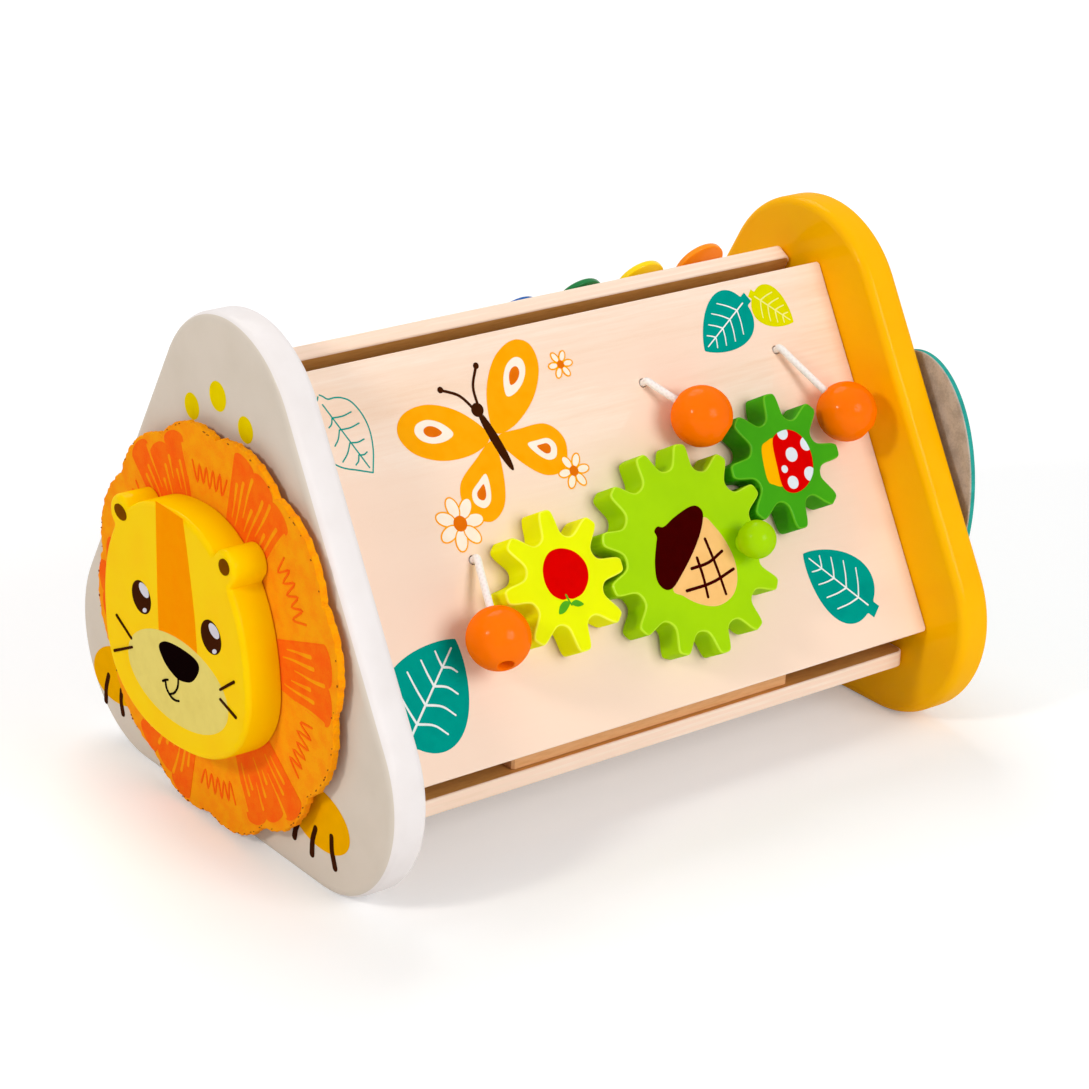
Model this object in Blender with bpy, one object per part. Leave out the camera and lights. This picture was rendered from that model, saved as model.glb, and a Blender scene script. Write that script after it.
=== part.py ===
"""Wooden activity box for small children: a three-sided prism with a lion on one end.

Units are metres, +Z is up, and the origin is on the ground under the middle of the box.
The lion end points along -X, and the side with the toothed wheels faces the front, along -Y.
Each side and each end has its own frame, an empty whose local Z points out of that face.
"""
import math

import bmesh
import bpy
import numpy as np
from mathutils import Matrix, Vector

MM = 0.001
GAP = 0.3 * MM                     # between pieces that touch or run on each other

# End panels: rounded triangles
CORNER_SPACING = 130 * MM          # between the centres of the rounded corners
CORNER_RADIUS = 48.5 * MM
PANEL_THICKNESS = 16 * MM
PANEL_ROUNDING = 3.5 * MM          # of the panel's edges
SPAN = 270 * MM                    # between the two end panels

# Plywood boards on the three sides
BOARD_WIDTH = 161.5 * MM
BOARD_THICKNESS = 7 * MM
BOARD_STAND_OUT = 22.9 * MM        # outer face, out from the line of the corner centres
BOARD_CORNER = 4 * MM
BOARD_EASING = 0.8 * MM            # of the boards' edges
REAR_BOARD_RISE = 1.5 * MM         # how much higher up its side the rear board sits than the others

# Dowels between boards and end panels
DOWEL_RADIUS = 2 * MM
DOWEL_IN_PANEL = 10 * MM
DOWEL_IN_BOARD = 16 * MM
DOWEL_FROM_EDGE = 28 * MM

# Brace block on the base board, behind the front board
BRACE_LENGTH = 141 * MM
BRACE_DEPTH = 18 * MM
BRACE_SET_BACK = 2.5 * MM          # behind the base board's front edge
BRACE_CORNER = 1 * MM

# Lion end
SPACER_THICKNESS = 3.5 * MM
SPACER_RADIUS = 36 * MM
FELT_THICKNESS = 3 * MM
MANE_LOBES = 12
MANE_HALF_WIDTH = 85.5 * MM        # of the ellipse through the dips between the lobes
MANE_HALF_HEIGHT = 77.7 * MM
MANE_TILT = math.radians(27)
MANE_LOBE_RISE = 3.8 * MM
MANE_LOBE_FULLNESS = 0.8           # power of the sine that shapes a lobe
MANE_AT = (0 * MM, -2 * MM)        # the mane's centre from the panel's
HEAD_THICKNESS = 15 * MM
HEAD_ROUNDING = 2.2 * MM
HEAD_HALF_WIDTH = 52.7 * MM
HEAD_CROWN = 59.2 * MM             # from the widest level up to the crown
HEAD_CHIN = 39.4 * MM              # and down to the chin
HEAD_SQUARENESS = 2.27             # power of the head's superellipse
HEAD_AT = (-3.0 * MM, -9.1 * MM)   # the middle of the widest level, from the panel's centre
HEAD_TILT = math.radians(5.3)
LION_EAR_RADIUS = 7.4 * MM
LION_EARS = ((-35.0 * MM, 48.2 * MM), (40.3 * MM, 44.6 * MM))   # across and up in the tilted head
LION_EAR_BLEND = 40                # power of the mean that joins ears and head; higher is sharper

# Far end
FAR_EAR_ACROSS = 56.8 * MM
FAR_EAR_HALF_WIDTH = 35 * MM
FAR_EAR_HALF_HEIGHT = 57.7 * MM
FAR_EAR_RAISE = 11.5 * MM
FAR_BRIDGE_CORNER = 8 * MM         # of the felt between the two ears, behind the head
FAR_HEAD_HALF_WIDTH = 42 * MM
FAR_HEAD_HALF_HEIGHT = 50 * MM
FAR_HEAD_RAISE = 4 * MM
FAR_HEAD_SQUARENESS = 2.4          # power of its superellipse

# Toothed wheels on the front board
MODULE = 6 * MM                    # pitch diameter over number of teeth
ADDENDUM = 4.2 * MM                # tooth height outside the pitch circle on the small wheels
LARGE_ADDENDUM = 3.7 * MM
DEDENDUM = 6.5 * MM
TOOTH_HALF_SHARE = 0.43            # half width of a tooth at mid height, as a share of half the pitch
TOOTH_STEEPNESS = 5.0              # exponent of the flank
POINTS_PER_TOOTH = 12
SMALL_TEETH = 8
LARGE_TEETH = 13
WHEEL_THICKNESS = 13 * MM
WHEEL_LIFT = 1 * MM                # free space behind each wheel
WHEEL_ROUNDING = 0.7 * MM
LARGE_WHEEL_AT = (117 * MM, -22.3 * MM)   # from the far end panel, and up from the board's middle
YELLOW_BEARING = math.radians(178.5)   # direction of the yellow wheel, seen from the large one
SMALL_BEARING = math.radians(23.0)
YELLOW_TURN = math.radians(1.0)    # where one tooth points at rest
LARGE_TURN = math.radians(23.6)
SMALL_TURN = math.radians(43.0)
AXLE_RADIUS = 4 * MM
AXLE_IN_WHEEL = 9 * MM
CAP_RADIUS = 9 * MM
CAP_THICKNESS = 4 * MM

# Crank knob on the large wheel
KNOB_RADIUS = 7.8 * MM
KNOB_REACH = 25 * MM               # from the large wheel's centre
KNOB_BEARING = math.radians(-6.8)
KNOB_FOOT = 2.5 * MM               # height of the neck between the wheel and the ball
KNOB_NECK_RADIUS = 4.3 * MM
PEG_RADIUS = 2.5 * MM
PEG_IN_WHEEL = 6 * MM
PEG_IN_KNOB = 9 * MM

# Balls on cords
BEAD_RADIUS = 12.5 * MM
BEAD_BORE = 2.1 * MM
BEAD_MOUTH = 3.1 * MM              # radius of the wider bore that hides the knot
BEAD_MOUTH_DEPTH = 8 * MM
CORD_RADIUS = 1.5 * MM
CORD_HOLE = 1.9 * MM               # radius of the hole in the board
CORD_RISE = 3 * MM                 # above the board before the cord leans over
CORD_LEAN_SHARE = 0.3              # share of the way to the ball at which the cord runs straight
CORD_BEFORE_BALL = 2 * MM          # straight cord outside the ball's bore
STOP_KNOT_RADIUS = 4 * MM
BEAD_KNOT_RADIUS = 2.6 * MM
CORDED_BEADS = {                   # hole and ball: from the far end panel, up and, for the ball, off the board
    "left": ((208.9 * MM, -3.4 * MM), (218.4 * MM, -34.9 * MM, 16.5 * MM)),
    "middle": ((107.3 * MM, 47.7 * MM), (93.3 * MM, 28.2 * MM, 12.8 * MM)),
    "right": ((36.3 * MM, 48.4 * MM), (20.0 * MM, 15.8 * MM, 12.8 * MM)),
}

# Row of metal bars on the rear board
FIRST_BAR_AT = 33.5 * MM           # the longest one, from the far end panel
LAST_BAR_CLEAR = 18 * MM           # least distance from the last one to the lion's panel
BAR_PITCH = 31 * MM
BAR_WIDTH = 23.5 * MM
BAR_END_FLAT = 0.2 * MM            # straight middle of a bar's round end
BAR_THICKNESS = 2.5 * MM
LONGEST_BAR = 158.4 * MM
BAR_STEP = 6.6 * MM                # each bar is this much shorter than the one before
NODE_SHARE = 0.224                 # share of a bar's length at which it is held
BAR_HOLE = 2.4 * MM
RAIL_WIDTH = 9 * MM
RAIL_HEIGHT = 6.5 * MM
RAIL_CORNER = 2 * MM
RAIL_EASING = 0.8 * MM             # of the rails' upper edges
RAIL_OVERHANG = 14 * MM            # past the middle of the first and last bar
STRIP_THICKNESS = 1.2 * MM
SCREW_RADIUS = 1.5 * MM
SCREW_HEAD_RADIUS = 4 * MM
SCREW_HEAD_HEIGHT = 2.4 * MM
SCREW_IN_RAIL = 3.4 * MM

# Worked out from the sizes above
IN_RADIUS = CORNER_SPACING / (2 * math.sqrt(3))
CENTRE_HEIGHT = CORNER_RADIUS + IN_RADIUS
FACE = IN_RADIUS + BOARD_STAND_OUT         # boards' outer faces from the box's centre line
BOARD_INSIDE = FACE - BOARD_THICKNESS
MESH_DISTANCE = MODULE * (SMALL_TEETH + LARGE_TEETH) / 2


def from_far(distance):
    """Place along the box of a point at that distance from the far end panel."""
    return SPAN / 2 - distance


def clear_scene():
    for thing in list(bpy.data.objects):
        bpy.data.objects.remove(thing, do_unlink=True)


def make_material(name, colour, roughness, metallic=0.0):
    """Principled material from an sRGB hex colour."""
    channels = [int(colour[i:i + 2], 16) / 255 for i in (0, 2, 4)]
    linear = [c / 12.92 if c <= 0.04045 else ((c + 0.055) / 1.055) ** 2.4 for c in channels]
    material = bpy.data.materials.new(name)
    material.use_nodes = True
    shader = material.node_tree.nodes["Principled BSDF"]
    shader.inputs["Base Color"].default_value = (*linear, 1.0)
    shader.inputs["Roughness"].default_value = roughness
    shader.inputs["Metallic"].default_value = metallic
    material.diffuse_color = (*linear, 1.0)
    return material


def make_frame(name, location, columns):
    """Empty with its local axes along the three given world directions."""
    empty = bpy.data.objects.new(name, None)
    bpy.context.collection.objects.link(empty)
    turn = Matrix(columns).transposed().to_4x4()
    empty.matrix_world = Matrix.Translation(location) @ turn
    return empty


def place(name, mesh, material, frame, location=(0, 0, 0), rotation=None):
    thing = bpy.data.objects.new(name, mesh)
    bpy.context.collection.objects.link(thing)
    thing.parent = frame
    thing.location = location
    if rotation is not None:
        thing.rotation_mode = "QUATERNION"
        thing.rotation_quaternion = rotation
    if material is not None:
        thing.data.materials.append(material)
    return thing


def mesh_from(name, verts, faces, smooth_angle=math.radians(35)):
    mesh = bpy.data.meshes.new(name)
    mesh.from_pydata([tuple(map(float, v)) for v in verts], [], faces)
    mesh.validate()
    mesh.shade_smooth()
    mesh.set_sharp_from_angle(angle=smooth_angle)
    return mesh


def inset(outline, amount):
    """Outline moved inwards by the amount, square to its sides; it runs anticlockwise."""
    after = np.roll(outline, -1, axis=0) - outline
    normals = np.stack([after[:, 1], -after[:, 0]], axis=1)
    normals /= np.linalg.norm(normals, axis=1)[:, None]
    corner = normals + np.roll(normals, 1, axis=0)
    corner /= (corner * normals).sum(axis=1)[:, None]
    return outline - amount * corner


def plate(name, outline, low, high, low_round=0.0, high_round=0.0, steps=2):
    """Flat piece over the outline between two heights, with rounded rims."""
    rings = []
    for k in range(steps + 1 if low_round else 1):
        turn = math.pi / 2 * (k / steps if low_round else 1)
        rings.append((low_round * (1 - math.sin(turn)), low + low_round * (1 - math.cos(turn))))
    for k in range(steps + 1 if high_round else 1):
        turn = math.pi / 2 * (k / steps if high_round else 0)
        rings.append((high_round * (1 - math.cos(turn)), high - high_round * (1 - math.sin(turn))))
    count = len(outline)
    verts = []
    for amount, height in rings:
        ring = inset(outline, amount) if amount else outline
        verts += [(x, y, height) for x, y in ring]
    faces = [tuple(reversed(range(count)))]
    for level in range(len(rings) - 1):
        base = level * count
        for i in range(count):
            j = (i + 1) % count
            faces.append((base + i, base + j, base + count + j, base + count + i))
    faces.append(tuple(range((len(rings) - 1) * count, len(rings) * count)))
    return mesh_from(name, verts, faces)


def turned(name, profile, sides, closed=False):
    """Piece turned about Z. The profile is (radius, height) pairs, outer side upwards.

    An open profile starts and ends on the axis. A closed one is a loop, for a piece with a bore.
    """
    verts = []
    rings = []
    for radius, height in profile:
        if radius < 1e-9:
            rings.append([len(verts)])
            verts.append((0, 0, height))
            continue
        rings.append([len(verts) + i for i in range(sides)])
        for i in range(sides):
            angle = 2 * math.pi * i / sides
            verts.append((radius * math.cos(angle), radius * math.sin(angle), height))
    pairs = list(zip(rings, rings[1:]))
    if closed:
        pairs.append((rings[-1], rings[0]))
    faces = []
    for lower, upper in pairs:
        for i in range(sides):
            j = (i + 1) % sides
            if len(lower) == 1:
                faces.append((lower[0], upper[j], upper[i]))
            elif len(upper) == 1:
                faces.append((lower[i], lower[j], upper[0]))
            else:
                faces.append((lower[i], lower[j], upper[j], upper[i]))
    return mesh_from(name, verts, faces)


def joined(name, meshes_and_places):
    """One mesh from several, each moved to its place."""
    whole = bmesh.new()
    for mesh, matrix in meshes_and_places:
        start = len(whole.verts)
        whole.from_mesh(mesh)
        whole.verts.ensure_lookup_table()
        bmesh.ops.transform(whole, matrix=matrix, verts=whole.verts[start:])
    mesh = bpy.data.meshes.new(name)
    whole.to_mesh(mesh)
    whole.free()
    return mesh


def drill(target, frame, holes, sides=16):
    """Cuts round holes, each (x, y, low, high, radius) in the frame, out of the target."""
    rods = []
    for x, y, low, high, radius in holes:
        rod = turned("rod", [(0, low), (radius, low), (radius, high), (0, high)], sides)
        rods.append((rod, Matrix.Translation((x, y, 0))))
    cut_with(target, joined(target.name + "_drill", rods), frame)


def cut_with(target, mesh, frame, operation="DIFFERENCE"):
    """Cuts the mesh out of the target, or with UNION fuses it on."""
    cutter = place(mesh.name, mesh, None, frame)
    cutter.hide_render = True
    cutter.display_type = "WIRE"
    cut = target.modifiers.new(mesh.name, "BOOLEAN")
    cut.operation = operation
    cut.solver = "EXACT"
    cut.object = cutter


def arc(centre, radius, start, end, count):
    angles = np.linspace(start, end, count)
    return np.stack([centre[0] + radius * np.cos(angles), centre[1] + radius * np.sin(angles)], axis=1)


def rounded_rectangle(width, height, radius, count=4):
    corners = []
    for k, (across, up) in enumerate(((1, 1), (-1, 1), (-1, -1), (1, -1))):
        centre = (across * (width / 2 - radius), up * (height / 2 - radius))
        corners.append(arc(centre, radius, k * math.pi / 2, (k + 1) * math.pi / 2, count))
    return np.concatenate(corners)


def panel_outline(count=14):
    reach = CORNER_SPACING / math.sqrt(3)
    corners = []
    for k in range(3):
        middle = math.pi / 2 + k * 2 * math.pi / 3
        centre = (reach * math.cos(middle), reach * math.sin(middle))
        corners.append(arc(centre, CORNER_RADIUS, middle - math.pi / 3, middle + math.pi / 3, count))
    return np.concatenate(corners)


def superellipse_reach(angles, half_width, half_up, half_down, power):
    """Distance from the centre to a superellipse whose lower half has its own height."""
    across = np.abs(np.cos(angles)) / half_width
    up = np.abs(np.sin(angles)) / np.where(np.sin(angles) > 0, half_up, half_down)
    return (across ** power + up ** power) ** (-1 / power)


def lion_head_outline(count=90):
    """Superellipse with two round ears, blended by a high power mean."""
    angles = np.arange(count) * 2 * math.pi / count
    reach = superellipse_reach(angles, HEAD_HALF_WIDTH, HEAD_CROWN, HEAD_CHIN, HEAD_SQUARENESS) / MM
    total = reach ** LION_EAR_BLEND
    for across, up in LION_EARS:
        distance = math.hypot(across, up)
        bearing = math.atan2(up, across)
        off = np.sin(angles - bearing) * distance
        inside = np.clip(LION_EAR_RADIUS ** 2 - off ** 2, 0, None)
        ear = np.where((inside > 0) & (np.cos(angles - bearing) > 0),
                       np.cos(angles - bearing) * distance + np.sqrt(inside), 0) / MM
        total = total + ear ** LION_EAR_BLEND
    reach = total ** (1 / LION_EAR_BLEND) * MM
    return np.stack([reach * np.cos(angles), reach * np.sin(angles)], axis=1)


def mane_outline(points_per_lobe=10):
    """Ellipse with round lobes and sharp dips between them, one of the dips at angle 0."""
    count = MANE_LOBES * points_per_lobe
    angles = np.arange(count) * 2 * math.pi / count
    reach = superellipse_reach(angles, MANE_HALF_WIDTH, MANE_HALF_HEIGHT, MANE_HALF_HEIGHT, 2)
    reach = reach + MANE_LOBE_RISE * np.abs(np.sin(angles * MANE_LOBES / 2)) ** MANE_LOBE_FULLNESS
    return np.stack([reach * np.cos(angles), reach * np.sin(angles)], axis=1)


def ellipse_outline(half_width, half_height, count, power=2.0):
    angles = np.arange(count) * 2 * math.pi / count
    reach = superellipse_reach(angles, half_width, half_height, half_height, power)
    return np.stack([reach * np.cos(angles), reach * np.sin(angles)], axis=1)


def wheel_outline(teeth, addendum, turn):
    """Toothed outline. Its radius falls from tip to root as 1 / (1 + (q / share) ** steepness),
    where q runs from 0 at a tooth's middle to 1 at the middle of the next gap."""
    pitch_radius = MODULE * teeth / 2
    count = teeth * POINTS_PER_TOOTH
    angles = np.arange(count) * 2 * math.pi / count
    q = np.abs((angles * teeth / (2 * math.pi) + 0.5) % 1 - 0.5) * 2
    root = pitch_radius - DEDENDUM
    reach = root + (addendum + DEDENDUM) / (1 + (q / TOOTH_HALF_SHARE) ** TOOTH_STEEPNESS)
    return np.stack([reach * np.cos(angles + turn), reach * np.sin(angles + turn)], axis=1)


def make_frames():
    """One frame for each side and each end; local Z points out of the box there."""
    centre = (0, 0, CENTRE_HEIGHT)
    frames = {}
    for name, degrees in (("front", 60), ("rear", -60), ("base", 180)):
        turn = math.radians(degrees)
        up = (0, math.cos(turn), math.sin(turn))
        out = (0, -math.sin(turn), math.cos(turn))
        frames[name] = make_frame(name + "_side", centre, ((1, 0, 0), up, out))
    frames["lion"] = make_frame("lion_end", centre, ((0, -1, 0), (0, 0, 1), (-1, 0, 0)))
    frames["far"] = make_frame("far_end", centre, ((0, 1, 0), (0, 0, 1), (1, 0, 0)))
    return frames


def dowel_places():
    """Where dowels run, up the board from its middle."""
    across = BOARD_WIDTH / 2 - DOWEL_FROM_EDGE
    return (-across, across)


def dowel_rod(name, radius, low, high):
    """Rod from low to high, turned about Z, then laid along X."""
    rod = turned(name, [(0, low), (radius, low), (radius, high), (0, high)], 8)
    return rod, Matrix.Rotation(math.pi / 2, 4, "Y")


def make_end_panels(frames, paints):
    outline = panel_outline()
    for name, frame, paint in (("end_panel_lion", "lion", "white"), ("end_panel_far", "far", "orange")):
        mesh = plate(name, outline, SPAN / 2, SPAN / 2 + PANEL_THICKNESS, PANEL_ROUNDING, PANEL_ROUNDING)
        panel = place(name, mesh, paints[paint], frames[frame])
        side = -1 if frame == "lion" else 1
        for board_side in ("front", "rear", "base"):
            bores = []
            for up in dowel_places():
                start = SPAN / 2 - GAP
                end = SPAN / 2 + DOWEL_IN_PANEL + GAP
                rod, lay = dowel_rod("bore", DOWEL_RADIUS + GAP, start, end)
                spot = Matrix.Translation((0, up, FACE - BOARD_THICKNESS / 2))
                flip = Matrix.Rotation(0 if side > 0 else math.pi, 4, "Y")
                bores.append((rod, spot @ flip @ lay))
            cut_with(panel, joined(name + "_" + board_side + "_bores", bores), frames[board_side])


def make_board(name, side, frames, paints, shift=0.0):
    """Plywood board with the dowels glued into its ends. The shift moves it along its frame's Y."""
    outline = rounded_rectangle(SPAN - 2 * GAP, BOARD_WIDTH, BOARD_CORNER) + np.array([0, shift])
    mesh = plate(name, outline, BOARD_INSIDE, FACE, BOARD_EASING, BOARD_EASING, steps=1)
    board = place(name, mesh, paints["plywood"], frames[side])
    dowels = []
    for end in (1, -1):
        for up in dowel_places():
            rod, lay = dowel_rod("dowel", DOWEL_RADIUS, SPAN / 2 - DOWEL_IN_BOARD, SPAN / 2 + DOWEL_IN_PANEL)
            spot = Matrix.Translation((0, up, FACE - BOARD_THICKNESS / 2))
            flip = Matrix.Rotation(0 if end > 0 else math.pi, 4, "Y")
            dowels.append((rod, spot @ flip @ lay))
    cut_with(board, joined(name + "_dowels", dowels), frames[side], "UNION")
    return board


def make_brace(frames, paints):
    """Block that stands on the base board, up to the front board's inner face."""
    front = BOARD_WIDTH / 2 - BRACE_SET_BACK
    under = BOARD_INSIDE - GAP
    # The front board's inner face, seen in the base frame, is the base board's turned by 120 degrees.
    slope_height = (BOARD_INSIDE - GAP - front * math.sin(math.radians(120))) / math.cos(math.radians(120))
    top = slope_height + GAP
    outline = rounded_rectangle(BRACE_LENGTH, BRACE_DEPTH, BRACE_CORNER, 2)
    outline = outline + np.array([0, front - BRACE_DEPTH / 2])
    place("brace_block", plate("brace_block", outline, top, under), paints["plywood"], frames["base"])


def make_lion(frames, paints):
    frame = frames["lion"]
    start = SPAN / 2 + PANEL_THICKNESS + GAP
    spacer = plate("mane_spacer", ellipse_outline(SPACER_RADIUS, SPACER_RADIUS, 24), 0, SPACER_THICKNESS - 2 * GAP)
    place("mane_spacer", spacer, paints["plywood"], frame, (0, 0, start))
    mane_low = start - GAP + SPACER_THICKNESS
    mane = plate("lion_mane", mane_outline(), 0, FELT_THICKNESS)
    mane_turn = Matrix.Rotation(MANE_TILT, 3, "Z").to_quaternion()
    place("lion_mane", mane, paints["mane"], frame, (*MANE_AT, mane_low), mane_turn)
    head = plate("lion_head", lion_head_outline(), 0, HEAD_THICKNESS, 0, HEAD_ROUNDING, steps=3)
    head_turn = Matrix.Rotation(HEAD_TILT, 3, "Z").to_quaternion()
    place("lion_head", head, paints["lion"], frame, (*HEAD_AT, mane_low + FELT_THICKNESS + GAP), head_turn)


def make_far_end(frames, paints):
    frame = frames["far"]
    start = SPAN / 2 + PANEL_THICKNESS + GAP
    spacer = plate("far_spacer", ellipse_outline(SPACER_RADIUS, SPACER_RADIUS, 24), 0, SPACER_THICKNESS - 2 * GAP)
    place("far_spacer", spacer, paints["plywood"], frame, (0, 0, start))
    low = start - GAP + SPACER_THICKNESS
    bridge = rounded_rectangle(2 * FAR_EAR_ACROSS, 2 * SPACER_RADIUS, FAR_BRIDGE_CORNER)
    ears = place("far_ears", plate("far_ears", bridge, 0, FELT_THICKNESS), paints["teal felt"], frame,
                 (0, FAR_EAR_RAISE, low))
    for side in (1, -1):
        ear = plate("ear", ellipse_outline(FAR_EAR_HALF_WIDTH, FAR_EAR_HALF_HEIGHT, 40), 0, FELT_THICKNESS)
        shift = Matrix.Translation((side * FAR_EAR_ACROSS, FAR_EAR_RAISE, low))
        cut_with(ears, joined("far_ear_lobe", [(ear, shift)]), frame, "UNION")
    outline = ellipse_outline(FAR_HEAD_HALF_WIDTH, FAR_HEAD_HALF_HEIGHT, 56, FAR_HEAD_SQUARENESS)
    head = plate("far_head", outline, 0, HEAD_THICKNESS, 0, HEAD_ROUNDING, steps=3)
    place("far_head", head, paints["grey blue"], frame, (0, FAR_HEAD_RAISE, low + FELT_THICKNESS + GAP))


def wheel_places():
    """Name, teeth, addendum, centre, rest turn and paint of each wheel."""
    x, y = from_far(LARGE_WHEEL_AT[0]), LARGE_WHEEL_AT[1]
    places = [("large", LARGE_TEETH, LARGE_ADDENDUM, (x, y), LARGE_TURN, "lime")]
    for name, bearing, turn, paint in (("yellow", YELLOW_BEARING, YELLOW_TURN, "yellow"),
                                       ("small", SMALL_BEARING, SMALL_TURN, "green")):
        centre = (x + MESH_DISTANCE * math.cos(bearing), y + MESH_DISTANCE * math.sin(bearing))
        places.append((name, SMALL_TEETH, ADDENDUM, centre, turn, paint))
    return places


def make_wheels(frames, paints, front_board):
    frame = frames["front"]
    low = FACE + WHEEL_LIFT
    high = low + WHEEL_THICKNESS
    cap_high = BOARD_INSIDE - GAP
    bores = []
    for name, teeth, addendum, (x, y), turn, paint in wheel_places():
        outline = wheel_outline(teeth, addendum, turn)
        mesh = plate("gear_" + name, outline, low, high, WHEEL_ROUNDING, WHEEL_ROUNDING, steps=1)
        wheel = place("gear_" + name, mesh, paints[paint], frame, (x, y, 0))
        holes = [(x, y, low - GAP, low + AXLE_IN_WHEEL + GAP, AXLE_RADIUS + GAP)]
        if name == "large":
            peg_x, peg_y = knob_place()
            holes.append((peg_x, peg_y, high - PEG_IN_WHEEL - GAP, high + GAP, PEG_RADIUS + GAP))
        drill(wheel, frame, holes)
        axle_low = cap_high - CAP_THICKNESS
        profile = [(0, axle_low), (AXLE_RADIUS, axle_low), (AXLE_RADIUS, low + AXLE_IN_WHEEL),
                   (0, low + AXLE_IN_WHEEL)]
        place("axle_" + name, turned("axle_" + name, profile, 16), paints["beech"], frame, (x, y, 0))
        inner = AXLE_RADIUS + GAP
        ring = [(inner, axle_low), (CAP_RADIUS, axle_low), (CAP_RADIUS, cap_high), (inner, cap_high)]
        cap = turned("axle_cap_" + name, ring, 16, closed=True)
        place("axle_cap_" + name, cap, paints["beech"], frame, (x, y, 0))
        bores.append((x, y, BOARD_INSIDE - GAP, FACE + GAP, AXLE_RADIUS + GAP))
    for (distance, up), _ in CORDED_BEADS.values():
        bores.append((from_far(distance), up, BOARD_INSIDE - GAP, FACE + GAP, CORD_HOLE))
    drill(front_board, frame, bores)


def knob_place():
    x, y = from_far(LARGE_WHEEL_AT[0]), LARGE_WHEEL_AT[1]
    return x + KNOB_REACH * math.cos(KNOB_BEARING), y + KNOB_REACH * math.sin(KNOB_BEARING)


def make_knob(frames, paints):
    """Ball with a short neck, turned on a peg that is glued into the large wheel."""
    x, y = knob_place()
    top = FACE + WHEEL_LIFT + WHEEL_THICKNESS
    centre = KNOB_FOOT + math.sqrt(KNOB_RADIUS ** 2 - KNOB_NECK_RADIUS ** 2)
    bore = PEG_RADIUS + GAP
    profile = [(0, PEG_IN_KNOB + GAP), (bore, PEG_IN_KNOB + GAP), (bore, 0),
               (KNOB_NECK_RADIUS, 0), (KNOB_NECK_RADIUS, KNOB_FOOT)]
    start = math.pi - math.asin(KNOB_NECK_RADIUS / KNOB_RADIUS)
    for angle in np.linspace(start, 0, 8)[1:]:
        profile.append((KNOB_RADIUS * math.sin(angle), centre + KNOB_RADIUS * math.cos(angle)))
    profile[-1] = (0, centre + KNOB_RADIUS)
    frame = frames["front"]
    place("crank_knob", turned("crank_knob", profile, 20), paints["lime"], frame, (x, y, top + GAP))
    low = top - PEG_IN_WHEEL
    high = top + PEG_IN_KNOB
    peg = turned("crank_peg", [(0, low), (PEG_RADIUS, low), (PEG_RADIUS, high), (0, high)], 12)
    place("crank_peg", peg, paints["beech"], frame, (x, y, 0))


def ball_mesh(name, radius, bore, mouth, mouth_depth, sides, rings):
    """Ball turned about Z with a through bore that is wider at its lower end."""
    low = -math.sqrt(radius ** 2 - mouth ** 2)
    high = math.sqrt(radius ** 2 - bore ** 2)
    first = math.atan2(low, mouth)
    last = math.atan2(high, bore)
    profile = [(radius * math.cos(a), radius * math.sin(a)) for a in np.linspace(first, last, rings)]
    step = low + mouth_depth
    profile += [(bore, step), (mouth, step)]
    return turned(name, profile, sides, closed=True)


def smooth_route(points, step):
    """Points every step along a Catmull-Rom curve through the route's points."""
    route = [Vector(p) for p in points]
    route = [2 * route[0] - route[1]] + route + [2 * route[-1] - route[-2]]
    fine = []
    for k in range(1, len(route) - 2):
        before, start, end, after = route[k - 1:k + 3]
        count = max(1, round((end - start).length / step))
        for i in range(count):
            t = i / count
            fine.append(0.5 * (2 * start + (end - before) * t
                               + (2 * before - 5 * start + 4 * end - after) * t ** 2
                               + (3 * start - before - 3 * end + after) * t ** 3))
    fine.append(route[-2])
    return fine


def cord_route(hole, ball):
    """From the stop knot behind the board, out of the hole and into the ball's bore."""
    x, y = from_far(hole[0]), hole[1]
    centre = Vector((from_far(ball[0]), ball[1], FACE + ball[2]))
    lean = Vector((x, y, FACE + CORD_RISE))
    along = (centre - lean).normalized()
    entry = centre - along * (BEAD_RADIUS + CORD_BEFORE_BALL)
    curve = lean.lerp(entry, CORD_LEAN_SHARE)
    end = centre + along * (BEAD_RADIUS - BEAD_MOUTH_DEPTH)
    points = [(x, y, BOARD_INSIDE), (x, y, FACE), lean, curve, entry, centre, end]
    return points, along, centre, end


def make_beads(frames, paints):
    frame = frames["front"]
    up = Vector((0, 0, 1))
    for name, (hole, ball) in CORDED_BEADS.items():
        points, along, centre, end = cord_route(hole, ball)
        turn = up.rotation_difference(-along)
        bead = ball_mesh("bead", BEAD_RADIUS, BEAD_BORE, BEAD_MOUTH, BEAD_MOUTH_DEPTH, 20, 13)
        place("bead_" + name, bead, paints["bead"], frame, centre, turn)
        curve = bpy.data.curves.new("cord_" + name, "CURVE")
        curve.dimensions = "3D"
        curve.bevel_depth = CORD_RADIUS
        curve.bevel_resolution = 2
        curve.use_fill_caps = True
        fine = smooth_route(points, 3 * CORD_RADIUS)
        spline = curve.splines.new("POLY")
        spline.points.add(len(fine) - 1)
        for point, spot in zip(spline.points, fine):
            point.co = (*spot, 1.0)
        place("cord_" + name, curve, paints["cord"], frame)
        knot = turned("knot", ball_profile(BEAD_KNOT_RADIUS, 6), 10)
        place("bead_knot_" + name, knot, paints["cord"], frame, end + along * (BEAD_KNOT_RADIUS + GAP), turn)
        stop = turned("knot", ball_profile(STOP_KNOT_RADIUS, 6), 10)
        stop_height = points[0][2] - STOP_KNOT_RADIUS - GAP
        place("stop_knot_" + name, stop, paints["cord"], frame, (*points[0][:2], stop_height))


def ball_profile(radius, rings):
    angles = np.linspace(-math.pi / 2, math.pi / 2, rings + 1)
    profile = [(radius * math.cos(a), radius * math.sin(a)) for a in angles]
    profile[0] = (0, -radius)
    profile[-1] = (0, radius)
    return profile


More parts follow.
